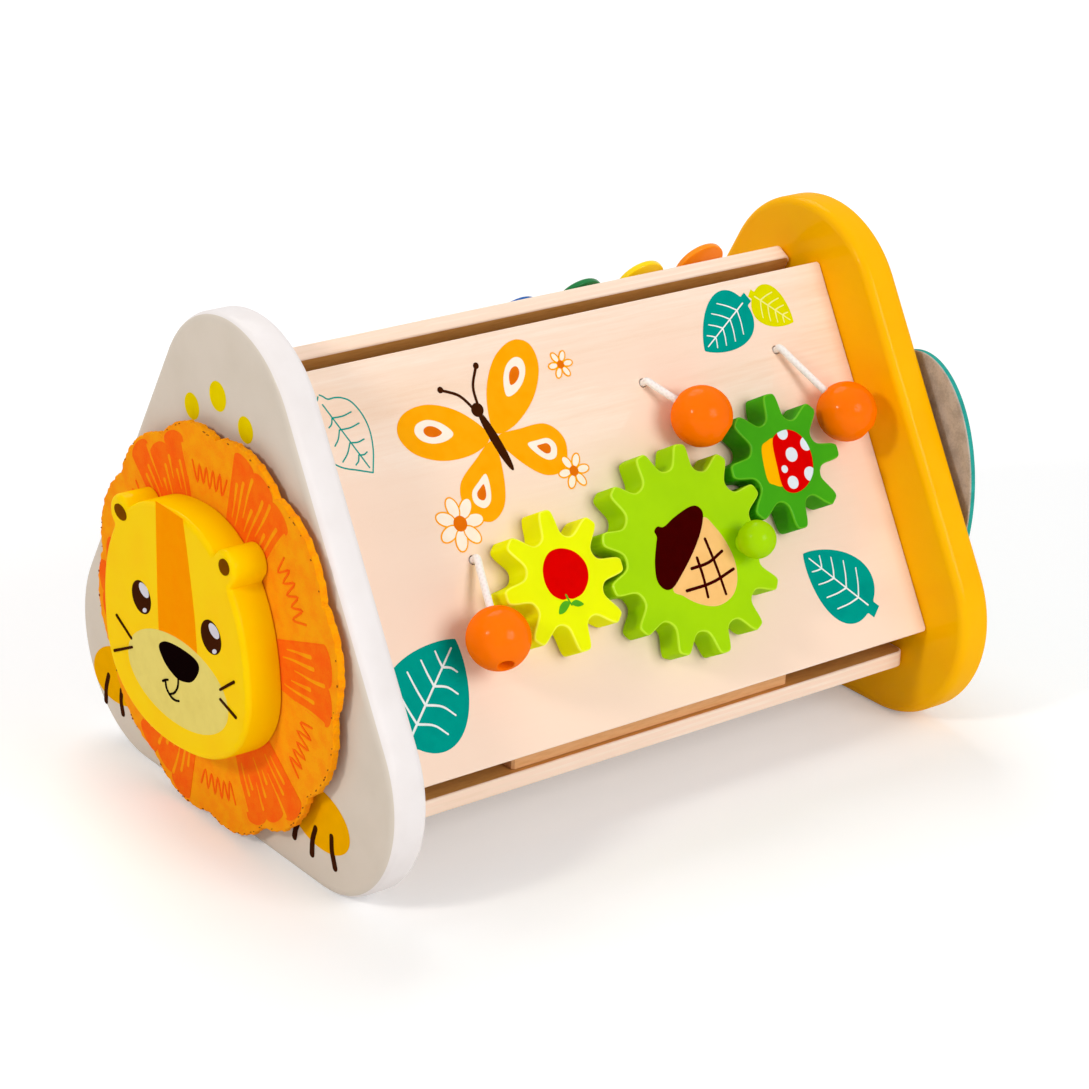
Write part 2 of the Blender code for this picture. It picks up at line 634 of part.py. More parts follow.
def bar_places():
    """Number, place along the box and length of each bar; the longest is at the far end."""
    count = 1 + math.floor((SPAN - FIRST_BAR_AT - LAST_BAR_CLEAR) / BAR_PITCH)
    return [(k + 1, from_far(FIRST_BAR_AT) - k * BAR_PITCH, LONGEST_BAR - k * BAR_STEP) for k in range(count)]


def hold_distance(length):
    return length * (0.5 - NODE_SHARE)


def make_bars(frames, paints):
    """Metal bars on two rails that close in as the bars get shorter; the screws stay in the rails."""
    frame = frames["rear"]
    bars = bar_places()
    rail_low = FACE + GAP
    rail_high = rail_low + RAIL_HEIGHT
    strip_low = rail_high + GAP
    strip_high = strip_low + STRIP_THICKNESS
    bar_low = strip_high + GAP
    bar_high = bar_low + BAR_THICKNESS
    hues = ("bar orange", "bar yellow", "bar green", "bar blue",
            "bar purple", "bar pink", "bar red", "bar sky")
    profile = [(0, rail_high - SCREW_IN_RAIL), (SCREW_RADIUS, rail_high - SCREW_IN_RAIL),
               (SCREW_RADIUS, bar_high + GAP)]
    for angle in (0, math.pi / 4):
        profile.append((SCREW_HEAD_RADIUS * math.cos(angle),
                        bar_high + GAP + SCREW_HEAD_HEIGHT * math.sin(angle)))
    profile.append((0, bar_high + GAP + SCREW_HEAD_HEIGHT))
    screw = turned("screw", profile, 8)
    for (number, x, length), hue in zip(bars, hues):
        outline = rounded_rectangle(BAR_WIDTH, length, (BAR_WIDTH - BAR_END_FLAT) / 2, 6)
        bar = place("bar_%d" % number, plate("bar", outline, bar_low, bar_high), paints[hue], frame, (x, 0, 0))
        holes = []
        for side in (1, -1):
            y = side * hold_distance(length)
            holes.append((x, y, bar_low - GAP, bar_high + GAP, BAR_HOLE))
        drill(bar, frame, holes, 8)
    first, last = bars[0], bars[-1]
    for name, side in (("upper", -1), ("lower", 1)):
        start = Vector((first[1] + RAIL_OVERHANG, side * hold_distance(first[2])))
        slope = side * (hold_distance(first[2]) - hold_distance(last[2])) / (first[1] - last[1])
        start.y += slope * RAIL_OVERHANG
        length = first[1] - last[1] + 2 * RAIL_OVERHANG
        middle = start - Vector((length / 2, slope * length / 2))
        turn = Matrix.Rotation(math.atan(slope), 3, "Z").to_quaternion()
        real_length = length * math.hypot(1, slope)
        outline = rounded_rectangle(real_length, RAIL_WIDTH, RAIL_CORNER, 3)
        rail = place("bar_rail_" + name, plate("rail", outline, rail_low, rail_high, 0, RAIL_EASING, 1),
                     paints["beech"], frame, (*middle, 0), turn)
        strip = place("rail_strip_" + name, plate("strip", outline, strip_low, strip_high),
                      paints["strip felt"], frame, (*middle, 0), turn)
        screws = []
        strip_holes = []
        for _, x, bar_length in bars:
            y = side * hold_distance(bar_length)
            screws.append((screw, Matrix.Translation((x, y, 0))))
            strip_holes.append((x, y, strip_low - GAP, strip_high + GAP, SCREW_RADIUS + GAP))
        cut_with(rail, joined("screws_" + name, screws), frame, "UNION")
        drill(strip, frame, strip_holes, 6)


def make_paints():
    table = {
        "white": ("EDE6EA", 0.25), "orange": ("FFAE00", 0.25), "plywood": ("FDDCC0", 0.55),
        "beech": ("E8C79C", 0.5), "mane": ("FF8A00", 0.95), "lion": ("F5C400", 0.3),
        "teal felt": ("2FA79B", 0.95), "grey blue": ("8FB7C4", 0.3), "lime": ("A8D800", 0.28),
        "yellow": ("EEF500", 0.28), "green": ("3FA00F", 0.28), "bead": ("FF7300", 0.3),
        "cord": ("EFE3DF", 0.8), "strip felt": ("D8D2C8", 0.95),
    }
    paints = {name: make_material(name, *values) for name, values in table.items()}
    bars = {"orange": "FF8C00", "yellow": "F2C200", "green": "17803A", "blue": "1565B8",
            "purple": "7A3FA0", "pink": "E0559A", "red": "D8262B", "sky": "3BAFDA"}
    for name, colour in bars.items():
        paints["bar " + name] = make_material("bar " + name, colour, 0.3, 0.4)
    return paints


def main():
    clear_scene()
    paints = make_paints()
    frames = make_frames()
    make_end_panels(frames, paints)
    front_board = make_board("front_board", "front", frames, paints)
    make_board("rear_board", "rear", frames, paints, shift=-REAR_BOARD_RISE)
    make_board("base_board", "base", frames, paints)
    make_brace(frames, paints)
    make_lion(frames, paints)
    make_far_end(frames, paints)
    make_wheels(frames, paints, front_board)
    make_knob(frames, paints)
    make_beads(frames, paints)
    make_bars(frames, paints)


main()
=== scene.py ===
# Wooden activity box with a lion end, toothed wheels, balls on cords and a row of metal bars.
# The frame is in metres: +X runs from the lion end to the far end, -Y is the front, +Z is up.
# Pieces are worked out in millimetres on one of five faces and then carried into place.
import math

import bpy
import numpy as np
from mathutils import Matrix, Vector


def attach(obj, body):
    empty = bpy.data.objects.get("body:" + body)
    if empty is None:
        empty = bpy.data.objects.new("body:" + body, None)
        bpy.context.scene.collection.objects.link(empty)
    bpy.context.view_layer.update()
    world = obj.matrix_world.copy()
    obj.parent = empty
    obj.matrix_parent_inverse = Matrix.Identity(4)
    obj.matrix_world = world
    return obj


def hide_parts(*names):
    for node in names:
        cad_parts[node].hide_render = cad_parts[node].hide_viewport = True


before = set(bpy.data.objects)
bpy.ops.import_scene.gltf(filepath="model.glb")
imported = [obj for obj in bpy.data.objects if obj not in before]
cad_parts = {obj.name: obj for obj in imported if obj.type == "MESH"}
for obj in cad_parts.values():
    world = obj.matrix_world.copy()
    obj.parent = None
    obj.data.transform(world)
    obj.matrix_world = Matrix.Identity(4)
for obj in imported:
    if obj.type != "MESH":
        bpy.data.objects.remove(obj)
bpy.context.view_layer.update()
mm = 0.001

box = {
    "cornerSpacing": 130.0,
    "cornerRadius": 48.5,
    "panelThickness": 16.0,
    "span": 270.0,
    "boardWidth": 161.5,
    "boardThickness": 7.0,
    "standOut": 22.9,
}
inRadius = box["cornerSpacing"] / (2 * math.sqrt(3))
centreHeight = box["cornerRadius"] + inRadius
boardFace = inRadius + box["standOut"]


def faceMatrix(across, up, out):
    # columns are the face's own axes, scaled from millimetres to metres
    m = np.eye(4)
    m[:3, 0], m[:3, 1], m[:3, 2] = np.array(across) * mm, np.array(up) * mm, np.array(out) * mm
    m[:3, 3] = (0, 0, centreHeight * mm)
    return m


def sideMatrix(degrees):
    # one of the box's three sides, turned about its length
    turn = math.radians(degrees)
    return faceMatrix((1, 0, 0), (0, math.cos(turn), math.sin(turn)), (0, -math.sin(turn), math.cos(turn)))


faces = {
    "front": sideMatrix(60),
    "rear": sideMatrix(-60),
    "base": sideMatrix(180),
    "lion": faceMatrix((0, -1, 0), (0, 0, 1), (-1, 0, 0)),
    "far": faceMatrix((0, 1, 0), (0, 0, 1), (1, 0, 0)),
}


def toWorld(points, face):
    # points in millimetres on a face, as points in metres in the frame
    m = faces[face]
    return np.asarray(points, float) @ m[:3, :3].T + m[:3, 3]


# Camera: the photograph's frame is 1089 pixels each way
camera = {"focalPixels": 3125.747, "framePixels": 1089, "place": (-0.727425, -0.936257, 0.580519),
          "down": 0.39675638, "roll": 0.03206004, "turn": 0.66223618}


def makeCamera():
    # looks down, turned and rolled by the three angles, in radians
    cx, sx = math.cos(camera["down"]), math.sin(camera["down"])
    cz, sz = math.cos(camera["turn"]), math.sin(camera["turn"])
    cy, sy = math.cos(camera["roll"]), math.sin(camera["roll"])
    forward = Vector((sz * cx, cz * cx, -sx))
    level = Vector((cz, -sz, 0))
    upright = level.cross(forward)
    right = level * cy + upright * sy
    up = upright * cy - level * sy
    data = bpy.data.cameras.new("camera")
    data.sensor_fit = "HORIZONTAL"
    data.sensor_width = 36
    data.lens = camera["focalPixels"] / camera["framePixels"] * 36
    data.clip_start, data.clip_end = 0.05, 20
    thing = bpy.data.objects.new("camera", data)
    bpy.context.scene.collection.objects.link(thing)
    turned = Matrix((right, up, -forward)).transposed().to_4x4()
    thing.matrix_world = Matrix.Translation(camera["place"]) @ turned
    bpy.context.scene.camera = thing


def addNode(tree, kind, sockets=None, feeds=None, **settings):
    # one node with its settings; a socket takes a value, an output, or a node whose first output is meant,
    # and feeds names the input of the surface shader that the new node drives
    made = tree.nodes.new("ShaderNode" + kind)
    for key, value in settings.items():
        setattr(made, key, value)
    for name, value in (sockets or {}).items():
        source = value.outputs[0] if isinstance(value, bpy.types.Node) else value
        if isinstance(source, bpy.types.NodeSocket):
            tree.links.new(source, made.inputs[name])
        else:
            made.inputs[name].default_value = source
    if feeds:
        tree.links.new(made.outputs[0], tree.nodes["Principled BSDF"].inputs[feeds])
    return made


def hexColour(text):
    # sRGB hex value as linear red, green and blue, with full alpha
    channels = np.array([int(text[i:i + 2], 16) for i in (0, 2, 4)]) / 255
    linear = np.where(channels <= 0.04045, channels / 12.92, ((channels + 0.055) / 1.055) ** 2.4)
    return (*map(float, linear), 1.0)


def newFinish(name, colour, roughness, **sockets):
    # Principled surface with its fixed values; returns the material and its tree
    material = bpy.data.materials.new(name)
    material.use_nodes = True
    tree = material.node_tree
    shader = tree.nodes["Principled BSDF"]
    shader.inputs["Base Color"].default_value = hexColour(colour)
    shader.inputs["Roughness"].default_value = roughness
    for key, value in sockets.items():
        shader.inputs[key.replace("_", " ")].default_value = value
    material.diffuse_color = hexColour(colour)
    return material, tree


def mottle(tree, pattern, low, high, colour, deeper):
    # base colour that runs from one hex colour to a deeper one as the pattern goes from low to high
    share = addNode(tree, "MapRange", {"Value": pattern, "From Min": low, "From Max": high})
    addNode(tree, "MixRGB", {"Fac": share, "Color1": hexColour(colour), "Color2": hexColour(deeper)},
            "Base Color")


def sprayLacquer(name, colour, deeper, roughness=0.3, coat=0.13):
    # water-based lacquer sprayed on sanded wood: smooth, mottled in faint clouds 22 mm wide,
    # with orange peel 1.6 mm wide in the gloss
    material, tree = newFinish(name, colour, roughness, Specular_IOR_Level=0.0, Coat_Weight=coat,
                               Coat_Roughness=0.1)
    place = addNode(tree, "TexCoord").outputs["Object"]
    cloud = addNode(tree, "TexNoise", {"Vector": place, "Scale": 1 / (22 * mm), "Detail": 3})
    mottle(tree, cloud, 0.42, 0.75, colour, deeper)
    peel = addNode(tree, "TexNoise", {"Vector": place, "Scale": 1 / (1.6 * mm), "Detail": 1.5})
    addNode(tree, "Bump", {"Height": peel, "Distance": 0.05 * mm, "Strength": 0.35}, "Normal")
    return material


def printInk(name, colour, deeper):
    # pad-printed ink: a thin even film, duller than the lacquer under it, with clouds 5 mm wide
    material, tree = newFinish(name, colour, 0.48, Specular_IOR_Level=0.0, Coat_Weight=0.01)
    place = addNode(tree, "TexCoord").outputs["Object"]
    cloud = addNode(tree, "TexNoise", {"Vector": place, "Scale": 1 / (5 * mm), "Detail": 2})
    mottle(tree, cloud, 0.4, 0.8, colour, deeper)
    return material


def woolFelt(name, colour, deeper):
    # needled felt: matt, with tangled fibres that show as specks 0.9 mm wide, coarser than real ones,
    # in clouds 6 mm wide
    material, tree = newFinish(name, colour, 0.95, Specular_IOR_Level=0.05, Sheen_Weight=0.02,
                               Sheen_Roughness=0.6)
    place = addNode(tree, "TexCoord").outputs["Object"]
    fibres = addNode(tree, "TexNoise",
                     {"Vector": place, "Scale": 1 / (0.9 * mm), "Detail": 6, "Roughness": 0.75})
    cloud = addNode(tree, "TexNoise", {"Vector": place, "Scale": 1 / (6 * mm), "Detail": 3})
    both = addNode(tree, "Math", {0: fibres, 1: cloud}, operation="ADD")
    mottle(tree, both, 0.88, 1.16, colour, deeper)
    addNode(tree, "Bump", {"Height": fibres, "Distance": 0.4 * mm, "Strength": 0.6}, "Normal")
    return material


def birchPly(name, face):
    # birch plywood: five veneers 1.4 mm thick whose grain runs along and across by turns,
    # so the wide faces show long pale grain and the edges show the layers
    veneers = 5
    material, tree = newFinish(name, "FFE8D6", 0.5, Specular_IOR_Level=0.15, Coat_Weight=0.04,
                               Coat_Roughness=0.3)
    tilt = math.radians({"front": -60, "rear": 60, "base": 180}[face])
    place = addNode(tree, "TexCoord").outputs["Object"]
    centred = addNode(tree, "VectorMath", {0: place, 1: (0, 0, -centreHeight * mm)}, operation="ADD")
    flat = addNode(tree, "VectorRotate", {"Vector": centred, "Angle": tilt}, rotation_type="X_AXIS")
    steps = (("SUBTRACT", (boardFace - box["boardThickness"]) * mm),
             ("DIVIDE", box["boardThickness"] * mm / veneers), ("FLOORED_MODULO", 2.0), ("GREATER_THAN", 1.0))
    crossing = addNode(tree, "SeparateXYZ", {"Vector": flat}).outputs["Z"]  # becomes 1 in every other veneer
    for operation, number in steps:
        crossing = addNode(tree, "Math", {0: crossing, 1: number}, operation=operation)
    grains = []
    for stretch in ((0.06, 1.0, 1.0), (1.0, 0.06, 1.0)):  # fibres 1.5 mm and growth bands 14 mm wide
        scaled = addNode(tree, "VectorMath", {0: flat, 1: stretch}, operation="MULTIPLY")
        fine = addNode(tree, "TexNoise",
                       {"Vector": scaled, "Scale": 1 / (1.5 * mm), "Detail": 5, "Roughness": 0.65})
        broad = addNode(tree, "TexNoise", {"Vector": scaled, "Scale": 1 / (14 * mm), "Detail": 3})
        grains.append(addNode(tree, "Mix", {"Factor": 0.55, "A": fine, "B": broad}))
    grain = addNode(tree, "Mix", {"Factor": crossing, "A": grains[0], "B": grains[1]})
    share = addNode(tree, "MapRange", {"Value": grain, "From Min": 0.36, "From Max": 0.74})
    along = addNode(tree, "MixRGB",
                    {"Fac": share, "Color1": hexColour("FFEAD8"), "Color2": hexColour("F1CBAB")})
    addNode(tree, "MixRGB", {"Fac": crossing, "Color1": along, "Color2": hexColour("FBDEC8")}, "Base Color")
    addNode(tree, "Bump", {"Height": grain, "Distance": 0.05 * mm, "Strength": 0.3}, "Normal")
    return material


def plainBeech(name, pale, dark):
    # turned or planed wood: dark flecks 1.2 mm wide, drawn out eight times along the box
    material, tree = newFinish(name, pale, 0.5, Specular_IOR_Level=0.1)
    place = addNode(tree, "TexCoord").outputs["Object"]
    scaled = addNode(tree, "VectorMath", {0: place, 1: (0.12, 1.0, 1.0)}, operation="MULTIPLY")
    fleck = addNode(tree, "TexNoise",
                    {"Vector": scaled, "Scale": 1 / (1.2 * mm), "Detail": 5, "Roughness": 0.7})
    mottle(tree, fleck, 0.42, 0.66, pale, dark)
    addNode(tree, "Bump", {"Height": fleck, "Distance": 0.05 * mm, "Strength": 0.4}, "Normal")
    return material


def lacqueredSteel(name, colour, deeper):
    # stamped steel with baked enamel: glossy, with barely seen clouds 9 mm wide
    material, tree = newFinish(name, colour, 0.3, Specular_IOR_Level=0.1, Coat_Weight=0.35,
                               Coat_Roughness=0.06)
    place = addNode(tree, "TexCoord").outputs["Object"]
    cloud = addNode(tree, "TexNoise", {"Vector": place, "Scale": 1 / (9 * mm), "Detail": 2})
    mottle(tree, cloud, 0.3, 1.4, colour, deeper)
    return material


def zincSteel(name):
    # bright zinc-plated screws, with grit 0.6 mm wide in the plating
    material, tree = newFinish(name, "C9CACD", 0.3, Metallic=1.0)
    place = addNode(tree, "TexCoord").outputs["Object"]
    grit = addNode(tree, "TexNoise", {"Vector": place, "Scale": 1 / (0.6 * mm), "Detail": 3})
    addNode(tree, "Bump", {"Height": grit, "Distance": 0.03 * mm, "Strength": 0.4}, "Normal")
    return material


def braidedCotton(name):
    # soft braided cord: two families of strands that cross, each with four strands round the cord
    # and one more turn of pattern in about 2.4 mm of length
    strands, lead = 4, 2.6  # lead is radians for each millimetre along
    material, tree = newFinish(name, "F3EAE6", 0.85, Specular_IOR_Level=0.2, Sheen_Weight=0.08)
    uv = addNode(tree, "UVMap", uv_map="alongCord")
    split = addNode(tree, "SeparateXYZ", {"Vector": uv}).outputs
    waves = []
    for sign in (1, -1):
        run = addNode(tree, "Math", {0: split["Y"], 1: sign * lead}, operation="MULTIPLY")
        phase = addNode(tree, "Math", {0: split["X"], 1: strands * 2 * math.pi, 2: run},
                        operation="MULTIPLY_ADD")
        waves.append(addNode(tree, "Math", {0: phase}, operation="SINE"))
    top = addNode(tree, "Math", {0: waves[0], 1: waves[1]}, operation="MAXIMUM")
    # the hollows between strands are a shade darker than their crowns: painted shade in the hollows
    mottle(tree, top, -0.8, 0.8, "F0E7E4", "F7F2EE")
    addNode(tree, "Bump", {"Height": top, "Distance": 0.04 * mm, "Strength": 0.4}, "Normal")
    return material


finishes = {
    "white": sprayLacquer("whiteLacquer", "F1EBEA", "EBE4E2"),
    # darker, warmer white on the lion end's face: painted shade
    "shadedWhiteFace": sprayLacquer("paintedShadeWhiteLacquer", "DCD1C4", "D7CCBE"),
    "orange": sprayLacquer("sunOrangeLacquer", "FFBA00", "FFB400"),
    "lion": sprayLacquer("lionYellowLacquer", "FFD400", "FFCC00", coat=0.09),
    "greyBlue": sprayLacquer("greyBlueLacquer", "8FB7C4", "86AEBB"),
    "lime": sprayLacquer("limeLacquer", "A6D800", "9DD000"),
    # paler copies of the wheel lacquers for the wheels' front rounding: a painted highlight
    "limeEdge": sprayLacquer("limeHighlightLacquer", "C2EA34", "B8E228"),
    "yellow": sprayLacquer("lemonLacquer", "EEF500", "E6EE00"),
    "yellowEdge": sprayLacquer("lemonHighlightLacquer", "F6FB48", "F0F638"),
    "green": sprayLacquer("leafGreenLacquer", "42A30C", "3A9A0A"),
    "greenEdge": sprayLacquer("leafGreenHighlightLacquer", "62B81E", "58AE18"),
    "ball": sprayLacquer("orangeBallLacquer", "FF7600", "FB6E00", roughness=0.25, coat=0.14),
    "mane": woolFelt("orangeFelt", "FFA400", "FF9200"),
    "maneDark": woolFelt("burntOrangeFelt", "FF7200", "FF6200"),
    "maneSpeck": woolFelt("scorchedFelt", "A0560F", "7C3C08"),
    "tealFelt": woolFelt("tealFelt", "30A89C", "269A8E"),
    "greyFelt": woolFelt("greyFelt", "C4B8AE", "ACA096"),
    "stripFelt": woolFelt("naturalFelt", "DDD6CB", "C8C0B3"),
    "frontPly": birchPly("frontBirchPly", "front"),
    "rearPly": birchPly("rearBirchPly", "rear"),
    "basePly": birchPly("baseBirchPly", "base"),
    # darker brown for the boards' sides that look into the box: painted shade inside the box
    "shadedInsideVeneer": plainBeech("shadedInsideVeneer", "D99C54", "CC8C46"),
    # deeper tan than the plywood for the brace block, taken from its shaded face: painted shade from the
    # front board above it
    "shadedBlockWood": plainBeech("shadedBlockWood", "E8B07A", "DDA269"),
    "beech": plainBeech("plainBeech", "F0D6B4", "D9B184"),
    "zinc": zincSteel("zincSteel"),
    "cord": braidedCotton("braidedCotton"),
}
inks = {
    "tealInk": ("009C8E", "009488"),
    "yellowGreenInk": ("DEDD00", "D6D500"),
    "paleYellowInk": ("F1F08C", "ECEB80"),
    "whiteInk": ("E9F3F0", "E2ECEA"),
    "glintInk": ("D9D6E2", "D2CFDC"),
    "amberInk": ("FFAA0C", "FFA400"),
    "creamInk": ("FFF1E0", "FBEBD8"),
    "rustInk": ("E8730C", "E06A06"),
    "redInk": ("DA0000", "D00000"),
    "leafInk": ("55AE22", "4CA41E"),
    "maroonInk": ("3D0000", "350000"),
    "tanInk": ("F9C47A", "F5BE72"),
    "goldInk": ("FFB400", "FCAE00"),
    "coolWhiteInk": ("DFE6EC", "D8E0E6"),
    "orangeInk": ("FF9900", "FF9300"),
    "blackInk": ("0B0000", "080000"),
    "brownInk": ("3F1A06", "381604"),
    "earInk": ("7A4300", "713D00"),
    "muzzleInk": ("EAD876", "E4D170"),
    "dotInk": ("EBD300", "E4CB00"),
    "pawInk": ("F2AE00", "ECA800"),
    "slateInk": ("3E4A52", "37434B"),
    "blushInk": ("F2A9A0", "ECA198"),
}
finishes.update((name, printInk(name, *colours)) for name, colours in inks.items())
print("finishes made:", len(finishes))


def makePiece(name, points, face, polygons, paint, body=None, node=None, uv=None, paintOfPolygon=None,
              sharp=38):
    # mesh with its place in its points, which rides a body and stands for a node where one is given
    mesh = bpy.data.meshes.new(name)
    mesh.from_pydata(toWorld(points, face).tolist(), [], polygons)
    mesh.shade_smooth()
    mesh.set_sharp_from_angle(angle=math.radians(sharp))
    for key in [paint] if isinstance(paint, str) else paint:
        mesh.materials.append(finishes[key])
    if paintOfPolygon is not None:
        mesh.polygons.foreach_set("material_index", np.asarray(paintOfPolygon, np.int32))
    if uv is not None:
        layer = mesh.uv_layers.new(name="alongCord")
        corners = np.zeros(len(mesh.loops), np.int32)
        mesh.loops.foreach_get("vertex_index", corners)
        layer.data.foreach_set("uv", np.asarray(uv, np.float32)[corners].ravel())
    thing = bpy.data.objects.new(name, mesh)
    bpy.context.scene.collection.objects.link(thing)
    if body:
        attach(thing, body)
    if node:
        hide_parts(node)
    return thing


def repaint(node, finish):
    # a node whose shape stays gets its finish
    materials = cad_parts[node].data.materials
    materials.clear()
    materials.append(finishes[finish])


def fullTurn(count):
    # angles of equal steps once round
    return np.arange(count) * 2 * math.pi / count


def unit(vectors):
    # each row divided by its length
    return vectors / np.linalg.norm(vectors, axis=1)[:, None]


def gridPolygons(rows, columns, start=0, closedRows=False):
    # quads between neighbouring rows of a grid whose columns run round
    i = np.arange(rows if closedRows else rows - 1)[:, None]
    j = np.arange(columns)[None, :]
    a = start + i * columns + j
    b = start + i * columns + (j + 1) % columns
    c = start + ((i + 1) % rows) * columns + (j + 1) % columns
    d = start + ((i + 1) % rows) * columns + j
    return np.stack([a, b, c, d], axis=-1).reshape(-1, 4).tolist()


def outwards(outline):
    # unit normals of a closed outline that runs anticlockwise
    along = np.roll(outline, -1, axis=0) - np.roll(outline, 1, axis=0)
    return unit(np.stack([along[:, 1], -along[:, 0]], axis=1))


def rimProfile(low, high, lowRound, highRound, steps=6, support=0.3):
    # (inset, height) pairs up the rim: a quarter circle, the straight side and a quarter circle
    q = np.linspace(0, math.pi / 2, steps + 1)
    lower = np.stack([lowRound * (1 - np.sin(q)), low + lowRound * (1 - np.cos(q))], axis=1)
    upper = np.stack([highRound * (1 - np.cos(q)), high - highRound * (1 - np.sin(q))], axis=1)
    return np.concatenate([[[lowRound + support, low]], lower, upper, [[highRound + support, high]]])


def slab(outline, profile):
    # the rim profile carried round the outline: point = outline - inset * normal, at the profile's height
    normal = outwards(outline)
    rings = outline[None] - profile[:, 0][:, None, None] * normal[None]
    heights = np.broadcast_to(profile[:, 1][:, None, None], (*rings.shape[:2], 1))
    points = np.concatenate([rings, heights], axis=2).reshape(-1, 3)
    count = len(outline)
    polygons = [list(range(count))[::-1]] + gridPolygons(len(profile), count)
    polygons.append(list(range((len(profile) - 1) * count, len(profile) * count)))
    return points, polygons


def makeSlab(name, outline, profile, face, paint, body, node, edgeRows=None):
    # piece that stands for a node; edgeRows are the rows of the profile that take the second paint
    points, polygons = slab(outline, profile)
    index = None
    if edgeRows is not None:
        row = (np.arange(len(polygons)) - 1) // len(outline)
        index = ((row >= edgeRows[0]) & (row < edgeRows[1])).astype(np.int32)
    return makePiece(name, points, face, polygons, paint, body, node, paintOfPolygon=index)


def turnedPiece(profile, sides, closed):
    # profile of (radius, height) carried round the axis; an open one ends in poles
    angle = fullTurn(sides)
    profile = np.asarray(profile, float)
    body = profile if closed else profile[1:-1]
    points = np.stack([body[:, :1] * np.cos(angle), body[:, :1] * np.sin(angle),
                       np.broadcast_to(body[:, 1:], (len(body), sides))], axis=-1).reshape(-1, 3)
    polygons = gridPolygons(len(body), sides, closedRows=closed)
    if not closed:
        low, high = len(points), len(points) + 1
        points = np.concatenate([points, [[0, 0, profile[0, 1]], [0, 0, profile[-1, 1]]]])
        last = (len(body) - 1) * sides
        polygons += [[low, (j + 1) % sides, j] for j in range(sides)]
        polygons += [[high, last + j, last + (j + 1) % sides] for j in range(sides)]
    return points, polygons


def arc(centre, radius, start, end, count):
    # points on a circle between two angles, both ends among them
    angle = np.linspace(start, end, count)
    return np.stack([centre[0] + radius * np.cos(angle), centre[1] + radius * np.sin(angle)], axis=1)


def roundedRectangle(width, height, radius, count=10):
    # four quarter circles joined by straight sides, without doubled points
    corners = []
    for k, (across, up) in enumerate(((1, 1), (-1, 1), (-1, -1), (1, -1))):
        centre = (across * (width / 2 - radius), up * (height / 2 - radius))
        corners.append(arc(centre, radius, k * math.pi / 2, (k + 1) * math.pi / 2, count))
    outline = np.concatenate(corners)
    keep = np.linalg.norm(outline - np.roll(outline, 1, axis=0), axis=1) > 1e-6
    return outline[keep]


def polar(angle, reach):
    # points at those distances and angles from the middle
    return np.stack([reach * np.cos(angle), reach * np.sin(angle)], axis=1)


def superellipse(angle, halfWidth, halfUp, halfDown, power):
    # distance from the centre, with its own height below the centre line
    across = np.abs(np.cos(angle)) / halfWidth
    up = np.abs(np.sin(angle)) / np.where(np.sin(angle) > 0, halfUp, halfDown)
    return (across ** power + up ** power) ** (-1 / power)


def splineSpan(a, b, c, d, t):
    # cubic curve from b to c; at each end it runs along the line between that end's neighbours, a and d
    # being the points before and after
    return 0.5 * (2 * b + (c - a) * t + (2 * a - 5 * b + 4 * c - d) * t ** 2
                  + (3 * b - a - 3 * c + d) * t ** 3)


def smoothLine(points, count=8):
    # open curve through the points, count steps for each span
    p = np.asarray(points, float)
    p = np.concatenate([[2 * p[0] - p[1]], p, [2 * p[-1] - p[-2]]])
    t = np.linspace(0, 1, count, endpoint=False)[:, None]
    spans = [splineSpan(*p[k - 1:k + 3], t) for k in range(1, len(p) - 2)]
    return np.concatenate([*spans, p[-2:-1]])


def smoothLoop(points, count=8):
    # closed curve through the points
    p = np.asarray(points, float)
    t = np.linspace(0, 1, count, endpoint=False)[:, None]
    return np.concatenate([splineSpan(*np.roll(p, 1 - k, axis=0)[:4], t) for k in range(len(p))])


def anticlockwise(outline):
    x, y = outline[:, 0], outline[:, 1]
    area = np.sum(x * np.roll(y, -1) - y * np.roll(x, -1))
    return outline if area > 0 else outline[::-1]


def stroke(points, width, endWidth=None):
    # brush stroke: the line offset to both sides, with round ends
    p = np.asarray(points, float)
    along = unit(np.gradient(p, axis=0))
    normal = np.stack([-along[:, 1], along[:, 0]], axis=1)
    half = np.linspace(width, width if endWidth is None else endWidth, len(p))[:, None] / 2
    left, right = p + normal * half, p - normal * half
    turnEnd = math.atan2(along[-1, 1], along[-1, 0])
    turnStart = math.atan2(along[0, 1], along[0, 0])
    endCap = arc(p[-1], half[-1, 0], turnEnd - math.pi / 2, turnEnd + math.pi / 2, 8)[1:-1]
    startCap = arc(p[0], half[0, 0], turnStart + math.pi / 2, turnStart + 3 * math.pi / 2, 8)[1:-1]
    return anticlockwise(np.concatenate([right, endCap, left[::-1], startCap]))


def ellipse(centre, halfWidth, halfHeight, degrees=0.0, count=48):
    angle = fullTurn(count)
    turn = math.radians(degrees)
    x, y = halfWidth * np.cos(angle), halfHeight * np.sin(angle)
    return np.stack([centre[0] + x * math.cos(turn) - y * math.sin(turn),
                     centre[1] + x * math.sin(turn) + y * math.cos(turn)], axis=1)


def measuredFrom(x, y):
    # turns points measured from a corner of a face into points from its centre; one pair gives one point
    def at(*pairs):
        moved = np.array(pairs, float) - np.array([x, y])
        return moved if len(pairs) > 1 else moved[0]
    return at


def spinMatrix(turn):
    # rows of points times this matrix are turned anticlockwise
    return np.array([[math.cos(turn), math.sin(turn)], [-math.sin(turn), math.cos(turn)]])


def ovals(at, paint, *rows):
    # ellipses, each as its centre's two numbers, its half axes and, where it leans, its tilt
    return [(ellipse(at(row[:2]), *row[2:]), paint) for row in rows]


def strokes(at, paint, widths, *lines, count=6):
    # brush strokes along the smooth curve through each line's points
    return [(stroke(smoothLine(at(*line), count), *widths), paint) for line in lines]


# Ink starts a gap off its face, and each shape is a step higher than the one before
film = {"gap": 0.01, "height": 0.03, "step": 0.025}


